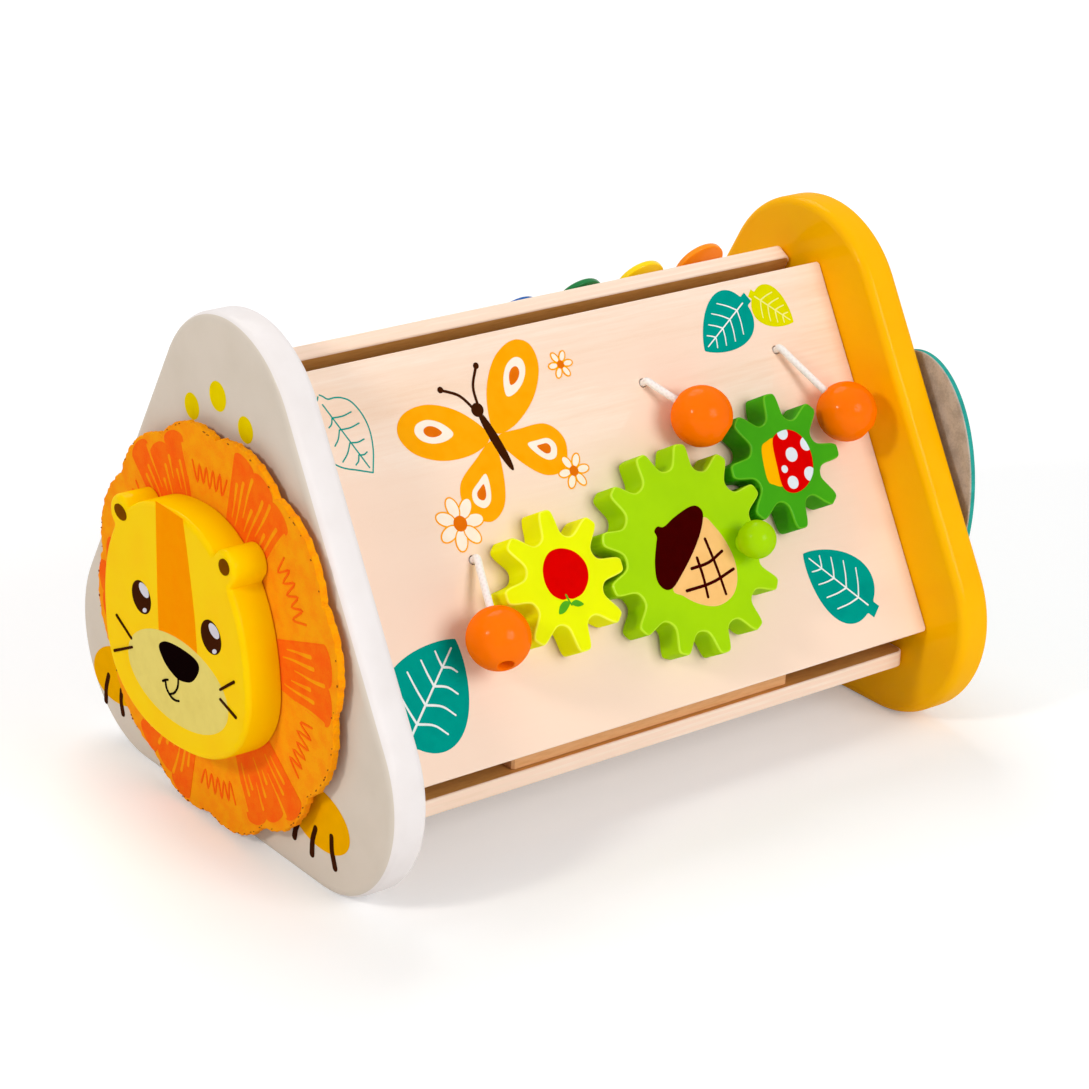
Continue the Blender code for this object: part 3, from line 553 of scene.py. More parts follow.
def printFilm(name, shapes, face, level, body, step=film["step"]):
    # each shape is a film of ink; a later one lies over those before it
    points, polygons, paints, index = [], [], [], []
    count = 0
    for order, (outline, paint) in enumerate(shapes):
        outline = anticlockwise(np.asarray(outline, float))
        n = len(outline)
        for height in (level + film["gap"], level + film["height"] + step * order):
            points.append(np.column_stack([outline, np.full(n, height)]))
        if paint not in paints:
            paints.append(paint)
        polygons.append(list(range(count, count + n))[::-1])
        polygons += gridPolygons(2, n, count)
        polygons.append(list(range(count + n, count + 2 * n)))
        index += [paints.index(paint)] * (n + 2)
        count += 2 * n
    makePiece(name, np.concatenate(points), face, polygons, paints, body, paintOfPolygon=index, sharp=20)


makeCamera()

# Balls on cords: hole across and up the board, ball's centre across, up and off it
corded = {
    "left": ((-73.9, -3.4), (-83.4, -34.9, 16.5)),
    "middle": ((27.7, 47.7), (41.7, 28.2, 12.8)),
    "right": ((98.7, 48.4), (115.0, 15.8, 12.8)),
}
cordSize = {"radius": 1.5, "rise": 3.0, "lead": 2.0, "sides": 24, "gap": 0.3, "stepsPerSpan": 10}
knotLook = {"stop": (4.0, 1.3), "ball": (2.6, 0.85), "steps": 240, "sides": 16}  # reach and strand radius
ball = {"radius": 12.5, "bore": 2.1, "mouth": 3.1, "mouthDepth": 8.0, "easing": 0.5, "rings": 56, "sides": 72}


def cordRoute(hole, centre):
    # from behind the board through its hole, over to the ball and up its bore to the knot
    middle = np.array([centre[0], centre[1], boardFace + centre[2]])
    lean = np.array([*hole, boardFace + cordSize["rise"]])
    along = (middle - lean) / np.linalg.norm(middle - lean)
    entry = middle - along * (ball["radius"] + cordSize["lead"])
    end = middle + along * (ball["radius"] - ball["mouthDepth"])
    route = [(*hole, boardFace - box["boardThickness"]), (*hole, boardFace), lean,
             lean * 0.7 + entry * 0.3, entry, middle, end]
    return smoothLine(route, cordSize["stepsPerSpan"]), along, middle, end


def ringsRound(line, side, other, radius, sides):
    # a circle on each point's two axes: point + radius * (cos * side + sin * other)
    angle = fullTurn(sides)
    return (line[:, None] + radius * (np.cos(angle)[None, :, None] * side[:, None]
                                      + np.sin(angle)[None, :, None] * other[:, None])).reshape(-1, 3)


def cordUv(run, sides):
    # share of the way round, and millimetres along
    share = np.arange(sides) / sides
    return np.stack(np.broadcast_arrays(share[None], run[:, None]), axis=-1).reshape(-1, 2)


def sweep(path, radius, sides):
    # a circle carried along the path on axes that turn as little as possible
    tangent = unit(np.gradient(path, axis=0))
    side = np.cross(tangent[0], (1, 0, 0))
    side /= np.linalg.norm(side)
    sideAxes = []
    for t in tangent:
        side = side - t * np.dot(side, t)
        side /= np.linalg.norm(side)
        sideAxes.append(side)
    sideAxes = np.array(sideAxes)
    points = ringsRound(path, sideAxes, np.cross(tangent, sideAxes), radius, sides)
    run = np.concatenate([[0], np.cumsum(np.linalg.norm(np.diff(path, axis=0), axis=1))])
    last = (len(path) - 1) * sides
    polygons = gridPolygons(len(path), sides) + [list(range(sides))[::-1], list(range(last, last + sides))]
    return points, polygons, cordUv(run, sides), run[-1]


def alignTo(direction):
    # matrix that turns the upright axis to the direction
    return np.array(Vector((0, 0, 1)).rotation_difference(Vector(direction)).to_matrix())


def makeKnot(name, kind, centre, direction, body, node):
    # overhand knot pulled tight: (sin t + 2 sin 2t, cos t - 2 cos 2t, -1.4 sin 3t), three units in reach
    reach, strand = knotLook[kind]
    steps, sides = knotLook["steps"], knotLook["sides"]
    t = fullTurn(steps)
    line = (reach - strand) / 3 * np.stack([np.sin(t) + 2 * np.sin(2 * t), np.cos(t) - 2 * np.cos(2 * t),
                                            -1.4 * np.sin(3 * t)], axis=1)
    tangent = unit(np.roll(line, -1, axis=0) - np.roll(line, 1, axis=0))
    side = unit(np.cross(tangent, (0, 0, 1)))
    points = ringsRound(line, side, np.cross(tangent, side), strand, sides)
    run = np.cumsum(np.linalg.norm(line - np.roll(line, 1, axis=0), axis=1))
    return makePiece(name, points @ alignTo(direction).T + centre, "front",
                     gridPolygons(steps, sides, closedRows=True), "cord", body, node, uv=cordUv(run, sides))


def makeCords():
    gap = cordSize["gap"]
    for name, (hole, centre) in corded.items():
        body = name + "_ball"
        path, along, _, end = cordRoute(hole, centre)
        points, polygons, uv, length = sweep(path, cordSize["radius"], cordSize["sides"])
        piece = makePiece("cordBraid_" + name, points, "front", polygons, "cord", body, "cord_" + name, uv=uv)
        behind = np.array([*hole, boardFace - box["boardThickness"] - knotLook["stop"][0] - gap])
        beyond = end + along * (knotLook["ball"][0] + gap)
        knots = [makeKnot("stopKnot_" + name, "stop", behind, (0, 0, 1), body, "stop_knot_" + name),
                 makeKnot("ballKnot_" + name, "ball", beyond, along, body, "bead_knot_" + name)]
        path = toWorld(path, "front").tolist()
        print("cord", name, round(length, 1), "mm")


def makeBalls():
    # ball turned round its bore; the lower mouth is wider and both mouths are eased
    r, bore, mouth, easing = ball["radius"], ball["bore"], ball["mouth"], ball["easing"]
    first = math.asin(-math.sqrt(1 - ((mouth + easing) / r) ** 2))
    last = math.asin(math.sqrt(1 - ((bore + easing) / r) ** 2))
    angle = np.linspace(first, last, ball["rings"])
    profile = list(np.stack([r * np.cos(angle), r * np.sin(angle)], axis=1))
    low, high = r * math.sin(first), r * math.sin(last)
    profile += [(bore + 0.15, high - 0.1), (bore, high - easing), (bore, low + ball["mouthDepth"]),
                (mouth, low + ball["mouthDepth"]), (mouth, low + 0.6), (mouth + 0.15, low + 0.15)]
    points, polygons = turnedPiece(profile, ball["sides"], True)
    for name, (hole, centre) in corded.items():
        _, along, middle, _ = cordRoute(hole, centre)
        makePiece("ball_" + name, points @ alignTo(-along).T + middle, "front", polygons, "ball",
                  name + "_ball", "bead_" + name)
    print("balls made")


makeCords()
makeBalls()

# End panels
panelLook = {"rounding": 3.8, "pointsPerCorner": 64, "steps": 8}


def panelOutline():
    # rounded triangle: a third of a circle about each corner of an even triangle
    reach = box["cornerSpacing"] / math.sqrt(3)
    corners = []
    for k in range(3):
        middle = math.pi / 2 + k * 2 * math.pi / 3
        centre = (reach * math.cos(middle), reach * math.sin(middle))
        corners.append(arc(centre, box["cornerRadius"], middle - math.pi / 3, middle + math.pi / 3,
                           panelLook["pointsPerCorner"]))
    return np.concatenate(corners)


def makePanels():
    low = box["span"] / 2
    profile = rimProfile(low, low + box["panelThickness"], panelLook["rounding"], panelLook["rounding"],
                         panelLook["steps"])
    for name, face, paint in (("lionPanel", "lion", "white"), ("farPanel", "far", "orange")):
        # the lion end's face is painted a darker, warmer white than its edge, a painted shade, and this runs
        # half way round its rounding
        rows = (len(profile) - 2 - panelLook["steps"] // 2, len(profile)) if face == "lion" else None
        makeSlab(name, panelOutline(), profile, face, (paint, "shadedWhiteFace"), "box", "end_panel_" + face, rows)
    print("end panels made")


makePanels()

# Boards and brace block; the rear board sits a little higher up its side
boardLook = {"corner": 4.0, "frontCorner": 1.6, "easing": 0.7, "endGap": 0.3, "rearRise": 1.5,
             "axleHole": 4.3, "cordHole": 1.9, "holeSides": 48}


def drilled(piece, holes, low, high):
    # round holes cut through the front board, each (x, y, radius)
    for x, y, radius in holes:
        rod = [(0, low - 1), (radius, low - 1), (radius, high + 1), (0, high + 1)]
        points, polygons = turnedPiece(rod, boardLook["holeSides"], False)
        cutter = makePiece("cutter", points + np.array([x, y, 0]), "front", polygons, "frontPly")
        cut = piece.modifiers.new("hole", "BOOLEAN")
        cut.solver = "EXACT"
        cut.object = cutter
        whole = bpy.data.meshes.new_from_object(piece.evaluated_get(bpy.context.evaluated_depsgraph_get()))
        piece.modifiers.clear()
        piece.data = whole
        bpy.data.objects.remove(cutter, do_unlink=True)
    piece.data.shade_smooth()
    piece.data.set_sharp_from_angle(angle=math.radians(12))  # keeps the cut faces flat


def makeBoards():
    # the second paint, a darker brown on the side that looks into the box, is painted shade
    inner = boardFace - box["boardThickness"]
    profile = rimProfile(inner, boardFace, boardLook["easing"], boardLook["easing"], 4)
    width = box["span"] - 2 * boardLook["endGap"]
    for face, corner, rise in (("rear", "corner", boardLook["rearRise"]), ("base", "corner", 0),
                               ("front", "frontCorner", 0)):
        outline = roundedRectangle(width, box["boardWidth"], boardLook[corner]) - np.array([0, rise])
        board = makeSlab(face + "Board", outline, profile, face, (face + "Ply", "shadedInsideVeneer"), "box",
                         face + "_board", (-1, 1))
    holes = [(*wheelCentre(name), boardLook["axleHole"]) for name in wheels]
    holes += [(*hole, boardLook["cordHole"]) for hole, _ in corded.values()]
    drilled(board, holes, inner, boardFace)
    # the brace block's deeper tan is painted shade from the front board over it
    repaint("brace_block", "shadedBlockWood")
    print("boards made")


# Toothed wheels
wheelLook = {"module": 6.0, "dedendum": 6.5, "toothShare": 0.43, "steepness": 5.0, "lift": 1.0,
             "thickness": 13.0, "pointsPerTooth": 56, "frontRound": 0.8, "backRound": 0.7}
large = (18.0, -22.3)
wheels = {  # teeth, addendum, direction from the large wheel, rest turn, lacquer
    "large": (13, 3.7, None, 23.6, "lime"),
    "yellow": (8, 4.2, 178.5, 1.0, "yellow"),
    "small": (8, 4.2, 23.0, 43.0, "green"),
}


def wheelCentre(name):
    # half the sum of both pitch circles away from the large wheel
    bearing = wheels[name][2]
    if bearing is None:
        return np.array(large)
    reach = wheelLook["module"] * (wheels["large"][0] + wheels[name][0]) / 2
    turn = math.radians(bearing)
    return np.array(large) + reach * np.array([math.cos(turn), math.sin(turn)])


def wheelOutline(teeth, addendum, turn):
    # radius = root + depth / (1 + (q / share) ** steepness); q is 0 at a tooth and 1 in a gap
    count = teeth * wheelLook["pointsPerTooth"]
    angle = fullTurn(count)
    q = np.abs((angle * teeth / (2 * math.pi) + 0.5) % 1 - 0.5) * 2
    root = wheelLook["module"] * teeth / 2 - wheelLook["dedendum"]
    depth = addendum + wheelLook["dedendum"]
    reach = root + depth / (1 + (q / wheelLook["toothShare"]) ** wheelLook["steepness"])
    return polar(angle + math.radians(turn), reach)


wheelTop = boardFace + wheelLook["lift"] + wheelLook["thickness"]
makeBoards()


def makeWheels():
    # a paler copy of each lacquer on the front rounding: a painted highlight along that edge
    steps = 6
    profile = rimProfile(boardFace + wheelLook["lift"], wheelTop, wheelLook["backRound"],
                         wheelLook["frontRound"], steps, 0.25)
    for name, (teeth, addendum, _, turn, paint) in wheels.items():
        outline = wheelOutline(teeth, addendum, turn) + wheelCentre(name)
        makeSlab("wheel_" + name, outline, profile, "front", (paint, paint + "Edge"), name + "_wheel",
                 "gear_" + name, (steps + 2, 2 * steps + 1))
        repaint("axle_" + name, "beech")
        repaint("axle_cap_" + name, "beech")
    print("wheels made")


makeWheels()

# Crank knob: a ball with a short neck
knob = {"radius": 7.8, "reach": 25.0, "bearing": -6.8, "foot": 2.5, "neck": 0.55, "sides": 64,
        "rings": 40, "gap": 0.3}


def makeKnob():
    # the neck's radius is a share of the ball's, and the ball starts where it is as wide
    r, neck = knob["radius"], knob["neck"] * knob["radius"]
    start = math.asin(knob["neck"])
    centre = knob["foot"] + r * math.cos(start)
    angle = np.linspace(start, math.pi, knob["rings"])
    profile = [(0, 0), (neck - 0.3, 0), (neck, 0.3), (neck - 0.1, knob["foot"] - 0.8)]
    profile += [(r * math.sin(a), centre - r * math.cos(a)) for a in angle]
    profile[-1] = (0, centre + r)
    points, polygons = turnedPiece(profile, knob["sides"], False)
    turn = math.radians(knob["bearing"])
    place = wheelCentre("large") + knob["reach"] * np.array([math.cos(turn), math.sin(turn)])
    makePiece("crankKnob", points + np.array([*place, wheelTop + knob["gap"]]), "front", polygons, "lime",
              "large_wheel", "crank_knob")
    repaint("crank_peg", "beech")


makeKnob()

# Lion end
lion = {"spacer": 3.5, "felt": 3.0, "feltRounding": 0.5, "headThickness": 15.0, "headRounding": 2.2,
        "headBackRounding": 0.6, "gap": 0.3}
lionFace = box["span"] / 2 + box["panelThickness"]
maneLook = {"centre": (0.0, -2.0), "halfWidth": 85.5, "halfHeight": 77.7, "tilt": 27.0, "lobes": 12,
            "rise": 3.8, "points": 1200, "ragged": ((0.22, 61, 0), (0.18, 103, 1), (0.12, 167, 2))}


def maneReach(angle):
    # tilted ellipse with round lobes, base + rise * |sin| ** 0.8
    turned = angle - math.radians(maneLook["tilt"])
    base = superellipse(turned, maneLook["halfWidth"], maneLook["halfHeight"], maneLook["halfHeight"], 2)
    return base + maneLook["rise"] * np.abs(np.sin(turned * maneLook["lobes"] / 2)) ** 0.8


headLook = {"centre": (-3.0, -9.1), "tilt": 5.3, "halfWidth": 52.7, "up": 59.2, "down": 39.4,
            "power": 2.27, "ears": ((-35.0, 48.2), (40.3, 44.6)), "earRadius": 7.4, "blend": 40}


def headOutline(count=540):
    # superellipse and two ear circles, joined by a high power mean of their reach
    angle = fullTurn(count)
    total = superellipse(angle, headLook["halfWidth"], headLook["up"], headLook["down"],
                         headLook["power"]) ** headLook["blend"]
    for x, y in headLook["ears"]:
        distance, bearing = math.hypot(x, y), math.atan2(y, x)
        off = distance * np.sin(angle - bearing)
        inside = np.clip(headLook["earRadius"] ** 2 - off ** 2, 0, None)
        reach = distance * np.cos(angle - bearing) + np.sqrt(inside)
        total += np.where((inside > 0) & (np.cos(angle - bearing) > 0), reach, 0) ** headLook["blend"]
    outline = polar(angle + math.radians(headLook["tilt"]), total ** (1 / headLook["blend"]))
    return outline + np.array(headLook["centre"])


def feltAndHead(names, outlines, face, paints, nodes, carrier):
    # felt on its spacer, and the head block on the felt; returns the felt and both tops
    feltLow = lionFace + lion["spacer"]
    feltTop = feltLow + lion["felt"]
    rim = rimProfile(feltLow, feltTop, lion["feltRounding"], lion["feltRounding"], 3, 0.2)
    felt = makeSlab(names[0], outlines[0], rim, face, paints[0], "box", nodes[0])
    low = feltTop + lion["gap"]
    top = low + lion["headThickness"]
    makeSlab(names[1], outlines[1], rimProfile(low, top, lion["headBackRounding"], lion["headRounding"], 8),
             face, paints[1], "box", nodes[1])
    repaint(carrier, "beech")
    return felt, feltTop, top


def maneOutline():
    # the felt's rim, frayed by three short waves
    angle = fullTurn(maneLook["points"])
    ragged = sum(size * np.sin(times * angle + start) for size, times, start in maneLook["ragged"])
    return polar(angle, maneReach(angle) + ragged) + np.array(maneLook["centre"])


_, maneTop, headTop = feltAndHead(("maneFelt", "lionHead"), (maneOutline(), headOutline()), "lion",
                                  ("mane", "lion"), ("lion_mane", "lion_head"), "mane_spacer")

# Far end
farLook = {"earAcross": 56.8, "earHalfWidth": 35.0, "earHalfHeight": 57.7, "raise": 11.5,
           "headHalfWidth": 42.0, "headHalfHeight": 50.0, "headRaise": 4.0, "headPower": 2.4, "bridge": 36.0}


def earsOutline(count=480):
    # the furthest that a ray from the middle reaches in either ear or in the strip between them
    angle = fullTurn(count)
    c, s = np.cos(angle), np.sin(angle)
    a, b, d = farLook["earHalfWidth"], farLook["earHalfHeight"], farLook["earAcross"]
    reach = np.minimum(d / np.maximum(np.abs(c), 1e-9), farLook["bridge"] / np.maximum(np.abs(s), 1e-9))
    k2 = (c / a) ** 2 + (s / b) ** 2
    k1 = -np.abs(c) * d / a ** 2
    k0 = (d / a) ** 2 - 1
    root = k1 ** 2 - k2 * k0
    far = np.where(root > 0, (-k1 + np.sqrt(np.clip(root, 0, None))) / k2, 0)
    return polar(angle, np.maximum(reach, far)) + np.array([0, farLook["raise"]])


def makeFarPrint(top):
    # plain bear face: round eyes, an upright oval nose, a small smile and two blushes
    at = measuredFrom(0, 0)
    shapes = []
    for side in (-1, 1):
        shapes += ovals(at, "blushInk", (side * 25, -8, 6.5, 4.5))
        shapes += ovals(at, "slateInk", (side * 17, 14, 3.6, 4.4))
        shapes += ovals(at, "glintInk", (side * 17 + 1.2, 15.8, 1.2, 1.2))
        shapes += ovals(at, "slateInk", (side * 31.5, 38, 3.2, 4.6, side * 35))
    shapes += ovals(at, "slateInk", (0, 0, 8.5, 12)) + ovals(at, "glintInk", (-2.6, 5, 2.0, 3.2, 20))
    smile = ((-9, -18), (-5, -21.5), (0, -19), (5, -21.5), (9, -18))
    shapes += strokes(at, "slateInk", (1.3, 1.3), smile, count=8)
    printFilm("farFacePrint", shapes, "far", top, "box")


def makeFarEnd():
    angle = fullTurn(300)
    reach = superellipse(angle, farLook["headHalfWidth"], farLook["headHalfHeight"],
                         farLook["headHalfHeight"], farLook["headPower"])
    head = polar(angle, reach) + np.array([0, farLook["headRaise"]])
    ears, feltTop, top = feltAndHead(("earFelt", "farHead"), (earsOutline(), head), "far",
                                     (("greyFelt", "tealFelt"), "greyBlue"), ("far_ears", "far_head"),
                                     "far_spacer")
    # the outer half of the ears' thickness is teal
    centres = np.zeros(len(ears.data.polygons) * 3)
    ears.data.polygons.foreach_get("center", centres)
    teal = (centres.reshape(-1, 3)[:, 0] > (feltTop - lion["felt"] / 2) * mm).astype(np.int32)
    ears.data.polygons.foreach_set("material_index", teal)
    makeFarPrint(top)
    print("ends made")


makeFarEnd()

# Row of metal bars
barLook = {"count": 8, "firstAt": 101.5, "pitch": 31.0, "width": 23.5, "thickness": 2.5, "longest": 158.4,
           "step": 6.6, "nodeShare": 0.224, "railWidth": 9.0, "railHeight": 6.5, "overhang": 14.0,
           "strip": 1.2, "gap": 0.3, "screwHead": 4.0, "screwHeight": 2.4,
           "barRounds": (0.5, 0.7), "railRounds": (0.4, 0.8), "stripRounds": (0.2, 0.2)}
barPaints = {"barOrange": ("FF9400", "F78900"), "barYellow": ("FFDA00", "F8D000"),
             "barGreen": ("0B7A3B", "097034"), "barBlue": ("1560B0", "1258A4"),
             "barPurple": ("7A3FA0", "713996"), "barPink": ("E0559A", "D74E92"),
             "barRed": ("D8262B", "CE2227"), "barSky": ("3BAFDA", "35A6D0")}


def screwShape():
    # low dome with a recess in its top
    r, h = barLook["screwHead"], barLook["screwHeight"]
    dome = [(0, 0), (r - 0.2, 0), (r, 0.2), (r, 0.6)]
    dome += [(r * math.cos(a), 0.6 + (h - 0.6) * math.sin(a))
             for a in np.linspace(0.15, math.pi / 2 - 0.25, 8)]
    dome += [(0.9, h - 0.15), (0.8, h - 1.0), (0, h - 1.1)]
    return turnedPiece(dome, 32, False)


def makeBars():
    # rail, felt strip and bar lie on each other with a small gap between; the bars rest at their nodes,
    # nodeShare of the length from each end, so the rails run at a slope
    gap = barLook["gap"]
    railLow = boardFace + gap
    railHigh = railLow + barLook["railHeight"]
    stripLow = railHigh + gap
    stripHigh = stripLow + barLook["strip"]
    barLow = stripHigh + gap
    barHigh = barLow + barLook["thickness"]
    bars = [(barLook["firstAt"] - k * barLook["pitch"], barLook["longest"] - k * barLook["step"])
            for k in range(barLook["count"])]
    for k, ((x, length), (name, colours)) in enumerate(zip(bars, barPaints.items()), 1):
        finishes[name] = lacqueredSteel(name + "Enamel", *colours)
        end = barLook["width"] / 2 - 0.1
        outline = roundedRectangle(barLook["width"], length, end, 24) + np.array([x, 0])
        makeSlab("metalBar_%d" % k, outline, rimProfile(barLow, barHigh, *barLook["barRounds"], 4), "rear",
                 name, "box", "bar_%d" % k)
    hold = [length * (0.5 - barLook["nodeShare"]) for _, length in bars]
    apart = bars[0][0] - bars[-1][0]
    run = apart + 2 * barLook["overhang"]
    screwPoints, screwPolygons = screwShape()
    for name, side in (("upper", -1), ("lower", 1)):
        slope = side * (hold[0] - hold[-1]) / apart
        middle = np.array([(bars[0][0] + bars[-1][0]) / 2,
                           side * hold[0] + slope * (barLook["overhang"] - run / 2)])
        outline = (roundedRectangle(run * math.hypot(1, slope), barLook["railWidth"], 2, 8)
                   @ spinMatrix(math.atan(slope)) + middle)
        makeSlab("barRail_" + name, outline, rimProfile(railLow, railHigh, *barLook["railRounds"], 4), "rear",
                 "beech", "box", "bar_rail_" + name)
        makeSlab("feltStrip_" + name, outline, rimProfile(stripLow, stripHigh, *barLook["stripRounds"], 2),
                 "rear", "stripFelt", "box", "rail_strip_" + name)
        points = [screwPoints + np.array([x, side * at, barHigh + gap]) for (x, _), at in zip(bars, hold)]
        polygons = [[k * len(screwPoints) + i for i in polygon] for k in range(len(bars))
                    for polygon in screwPolygons]
        makePiece("screws_" + name, np.concatenate(points), "rear", polygons, "zinc", "box")
    print("bars made")


makeBars()

# Prints, in millimetres from a corner of what they lie on
def makeFacePrint():
    # a band down the brow, muzzle, nose, eyes with glints, inner ears, mouth and whiskers
    at = measuredFrom(71.68, 61.93)
    band = smoothLine(at((57.6, 112.3), (57.6, 95), (57.6, 75), (58.2, 55)), 6)
    bandRight = smoothLine(at((86.6, 55), (84.5, 75), (80.4, 97), (77.2, 111.6)), 6)
    nose = at((58.0, 52.0), (61.5, 55.6), (69, 57.3), (80, 57.6), (86.5, 56.3), (87.2, 52.8), (82.5, 46.8),
              (76, 44.2), (70, 43.9), (62.5, 46.8))
    shapes = [(np.concatenate([band, bandRight]), "orangeInk")]
    shapes += ovals(at, "muzzleInk", (71.2, 42.5, 36.8, 18.3, 3))
    shapes.append((smoothLoop(nose, 6), "blackInk"))
    for eye, glint, spark in (((45.5, 68.2), (47.6, 71.9), (47.9, 63.6)),
                              ((96.4, 70.6), (98.7, 74.0), (98.9, 65.7))):
        shapes += ovals(at, "brownInk", (*eye, 7.15, 6.7))
        shapes += ovals(at, "glintInk", (*glint, 3.8, 2.5, -18), (*spark, 1.7, 0.9, 28))
    shapes += ovals(at, "earInk", (31, 98.6, 4.5, 3.0, -8), (106.2, 102.5, 3.6, 3.2, 12))
    shapes += strokes(at, "blackInk", (1.0, 0.8), ((72.3, 44.2), (71.8, 40.5), (69.3, 37), (66.2, 35.2)),
                      ((60.7, 38.6), (62.6, 39.8), (64.6, 40.6)),
                      ((62.7, 39.4), (63.6, 36.4), (66.9, 34.2), (70, 34.0), (72.5, 34.7)))
    shapes += strokes(at, "brownInk", (1.2, 1.0), ((26.2, 53.4), (37.3, 47.7)), ((23.8, 37.3), (37.7, 44.1)),
                      ((112.3, 58.4), (102.7, 51.5)), ((113.5, 44.3), (102.7, 47.5)))
    printFilm("facePrint", shapes, "lion", headTop, "box")


def bent(a, b, bow):
    # two ends with a middle between them that is moved by bow
    return a, (np.array(a) + np.array(b)) / 2 + np.array(bow), b


def makePanelPrint():
    # three dots over the mane, and two paws with three toe lines each, from the panel's lower left corner
    at = measuredFrom(113.5, 86.03)
    shapes = ovals(at, "dotInk", (90.6, 167.3, 5.3, 5.3), (109.3, 177, 5.9, 5.9), (128.6, 169.7, 5.2, 5.2))
    shapes += ovals(at, "pawInk", (30, 30.5, 21, 12.5, 12), (178, 30, 21, 12.5, -4))
    toes = (((21.4, 27.6), (18.6, 15)), ((31.7, 24.6), (32.4, 14.6)), ((42, 25), (46, 14.6)),
            ((165.7, 24.3), (161.4, 14.6)), ((176.1, 24.6), (173.6, 12.6)), ((186.9, 25.7), (189.3, 13.6)))
    shapes += strokes(at, "brownInk", (2.6, 3.0), *[bent(a, b, (-0.8, 0)) for a, b in toes])
    printFilm("panelPrint", shapes, "lion", lionFace, "box")


makeFacePrint()
makePanelPrint()


# Fans are their first and last degree and their count of tongues; zigzags a degree and a reach
manePrint = {"seed": 4, "inner": 44, "shares": (0.99, 0.96, 1.0, 0.975, 0.95), "margin": 1.3, "tip": 0.4,
             "fans": ((105, 137, 3), (48, 77, 3), (-6, 17, 2), (-70, -37, 3), (-132, -103, 3), (171, 198, 3)),
             "zigzags": ((90, 63), (33, 67), (-21, 67), (-87, 65), (152, 66), (-152, 66)), "specks": 70}


def makeManePrint():
    # fans of broad darker strokes from the head to near the rim, hand-drawn zigzags between the fans,
    # and scorched specks where the rim was cut
    centre = np.array(maneLook["centre"])
    shapes = []
    rng = np.random.default_rng(manePrint["seed"])
    for start, end, tongues in manePrint["fans"]:
        pitch = (end - start) / tongues
        for k in range(tongues):
            middle = start + (k + 0.5) * pitch
            rim = float(maneReach(np.radians([middle]))[0])
            share = manePrint["shares"][(k + tongues + round(abs(start))) % 5]
            half = np.radians(pitch / 2 + 0.25)
            far = min(rim * share, rim - manePrint["margin"])
            turn = np.linspace(-math.pi / 2, math.pi / 2, 24)
            width = far * half
            tip = np.stack([far - width * manePrint["tip"] * (1 - np.cos(turn)), half * np.sin(turn)], axis=1)
            edge = np.concatenate([[[manePrint["inner"], -half]], tip, [[manePrint["inner"], half]]])
            shapes.append((polar(math.radians(middle) + edge[:, 1], edge[:, 0]) + centre, "maneDark"))
            for across, inner, outer in ((-0.95, 58, 0.9), (-0.3, 50, 0.84), (0.3, 54, 0.78)):
                reach = np.linspace(inner + 3 * rng.random(), far * (outer + 0.06 * rng.random()), 12)
                bend = math.radians(middle) + half * (across + 0.06 * np.sin(reach * 0.2 + 3 * k))
                shapes.append((stroke(polar(bend, reach) + centre, 0.5, 1.7), "mane"))
    for mark, reach in manePrint["zigzags"]:
        q = np.arange(11)
        swing = np.where(q % 2 == 0, 1, -1) * (3.0 + 1.5 * rng.random(11))
        line = polar(np.radians(mark + (q - 5) * 2.1), reach + swing) + centre
        shapes.append((stroke(smoothLine(line, 4), 0.9, 0.9), "maneDark"))
    for angle in rng.uniform(0, 2 * math.pi, manePrint["specks"]):
        place = polar(np.array([angle]), maneReach(np.array([angle])) - rng.uniform(0.6, 1.0))[0] + centre
        speck = ellipse(place, rng.uniform(0.15, 0.55), 0.16, math.degrees(angle) + 90, 10)
        shapes.append((speck, "maneSpeck"))
    printFilm("manePrint", shapes, "lion", maneTop, "box", 0.003)


makeManePrint()


def leafHalf(t):
    # share of the half width: a short stalk, then 2.31 * u ** 0.45 * (1 - u) ** 0.85 from stalk to tip
    u = np.clip((t - 0.08) / 0.92, 0, 1)
    return np.maximum(2.31 * u ** 0.45 * (1 - u) ** 0.85, np.where(t < 0.1, 0.2, 0))


def leafShapes(base, tip, width, paint, veinPaint, line=0.75, leftBend=(0.16, -0.05),
               rightBend=(0.16, -0.05)):
    # leaf between the end of its stalk and its tip, with a midrib and four pairs of side veins,
    # whose bend is how far they lean to the tip and how far they bulge that way
    base, tip = np.array(base, float), np.array(tip, float)
    length = np.linalg.norm(tip - base)
    along = (tip - base) / length
    across = np.array([-along[1], along[0]])
    t = 0.5 - 0.5 * np.cos(np.linspace(0, math.pi, 80))
    spine = base + along * (t[:, None] * length)
    half = width / 2 * leafHalf(t)
    left, right = spine + across * half[:, None], spine - across * half[:, None]
    shapes = [(np.concatenate([right, left[::-1][1:]]), paint)]
    rib = base + along * (np.linspace(0.12, 0.92, 12)[:, None] * length)
    shapes.append((stroke(rib, line, 0.8 * line), veinPaint))
    for k in range(4):
        u = 0.25 + 0.5 * k / 3
        start = base + along * u * length
        for side, (lean, bulge) in ((1, leftBend), (-1, rightBend)):
            lean *= 1 - 0.5 * (k / 3) ** 2
            reach = (0.72 - 0.16 * (k / 3) ** 2) * width / 2 * float(leafHalf(np.array([u + lean]))[0])
            end = base + along * (u + lean) * length + across * side * reach
            middle = (start + end) / 2 + along * bulge * reach
            shapes.append((stroke(smoothLine([start, middle, end], 6), line, 0.7 * line), veinPaint))
    return shapes


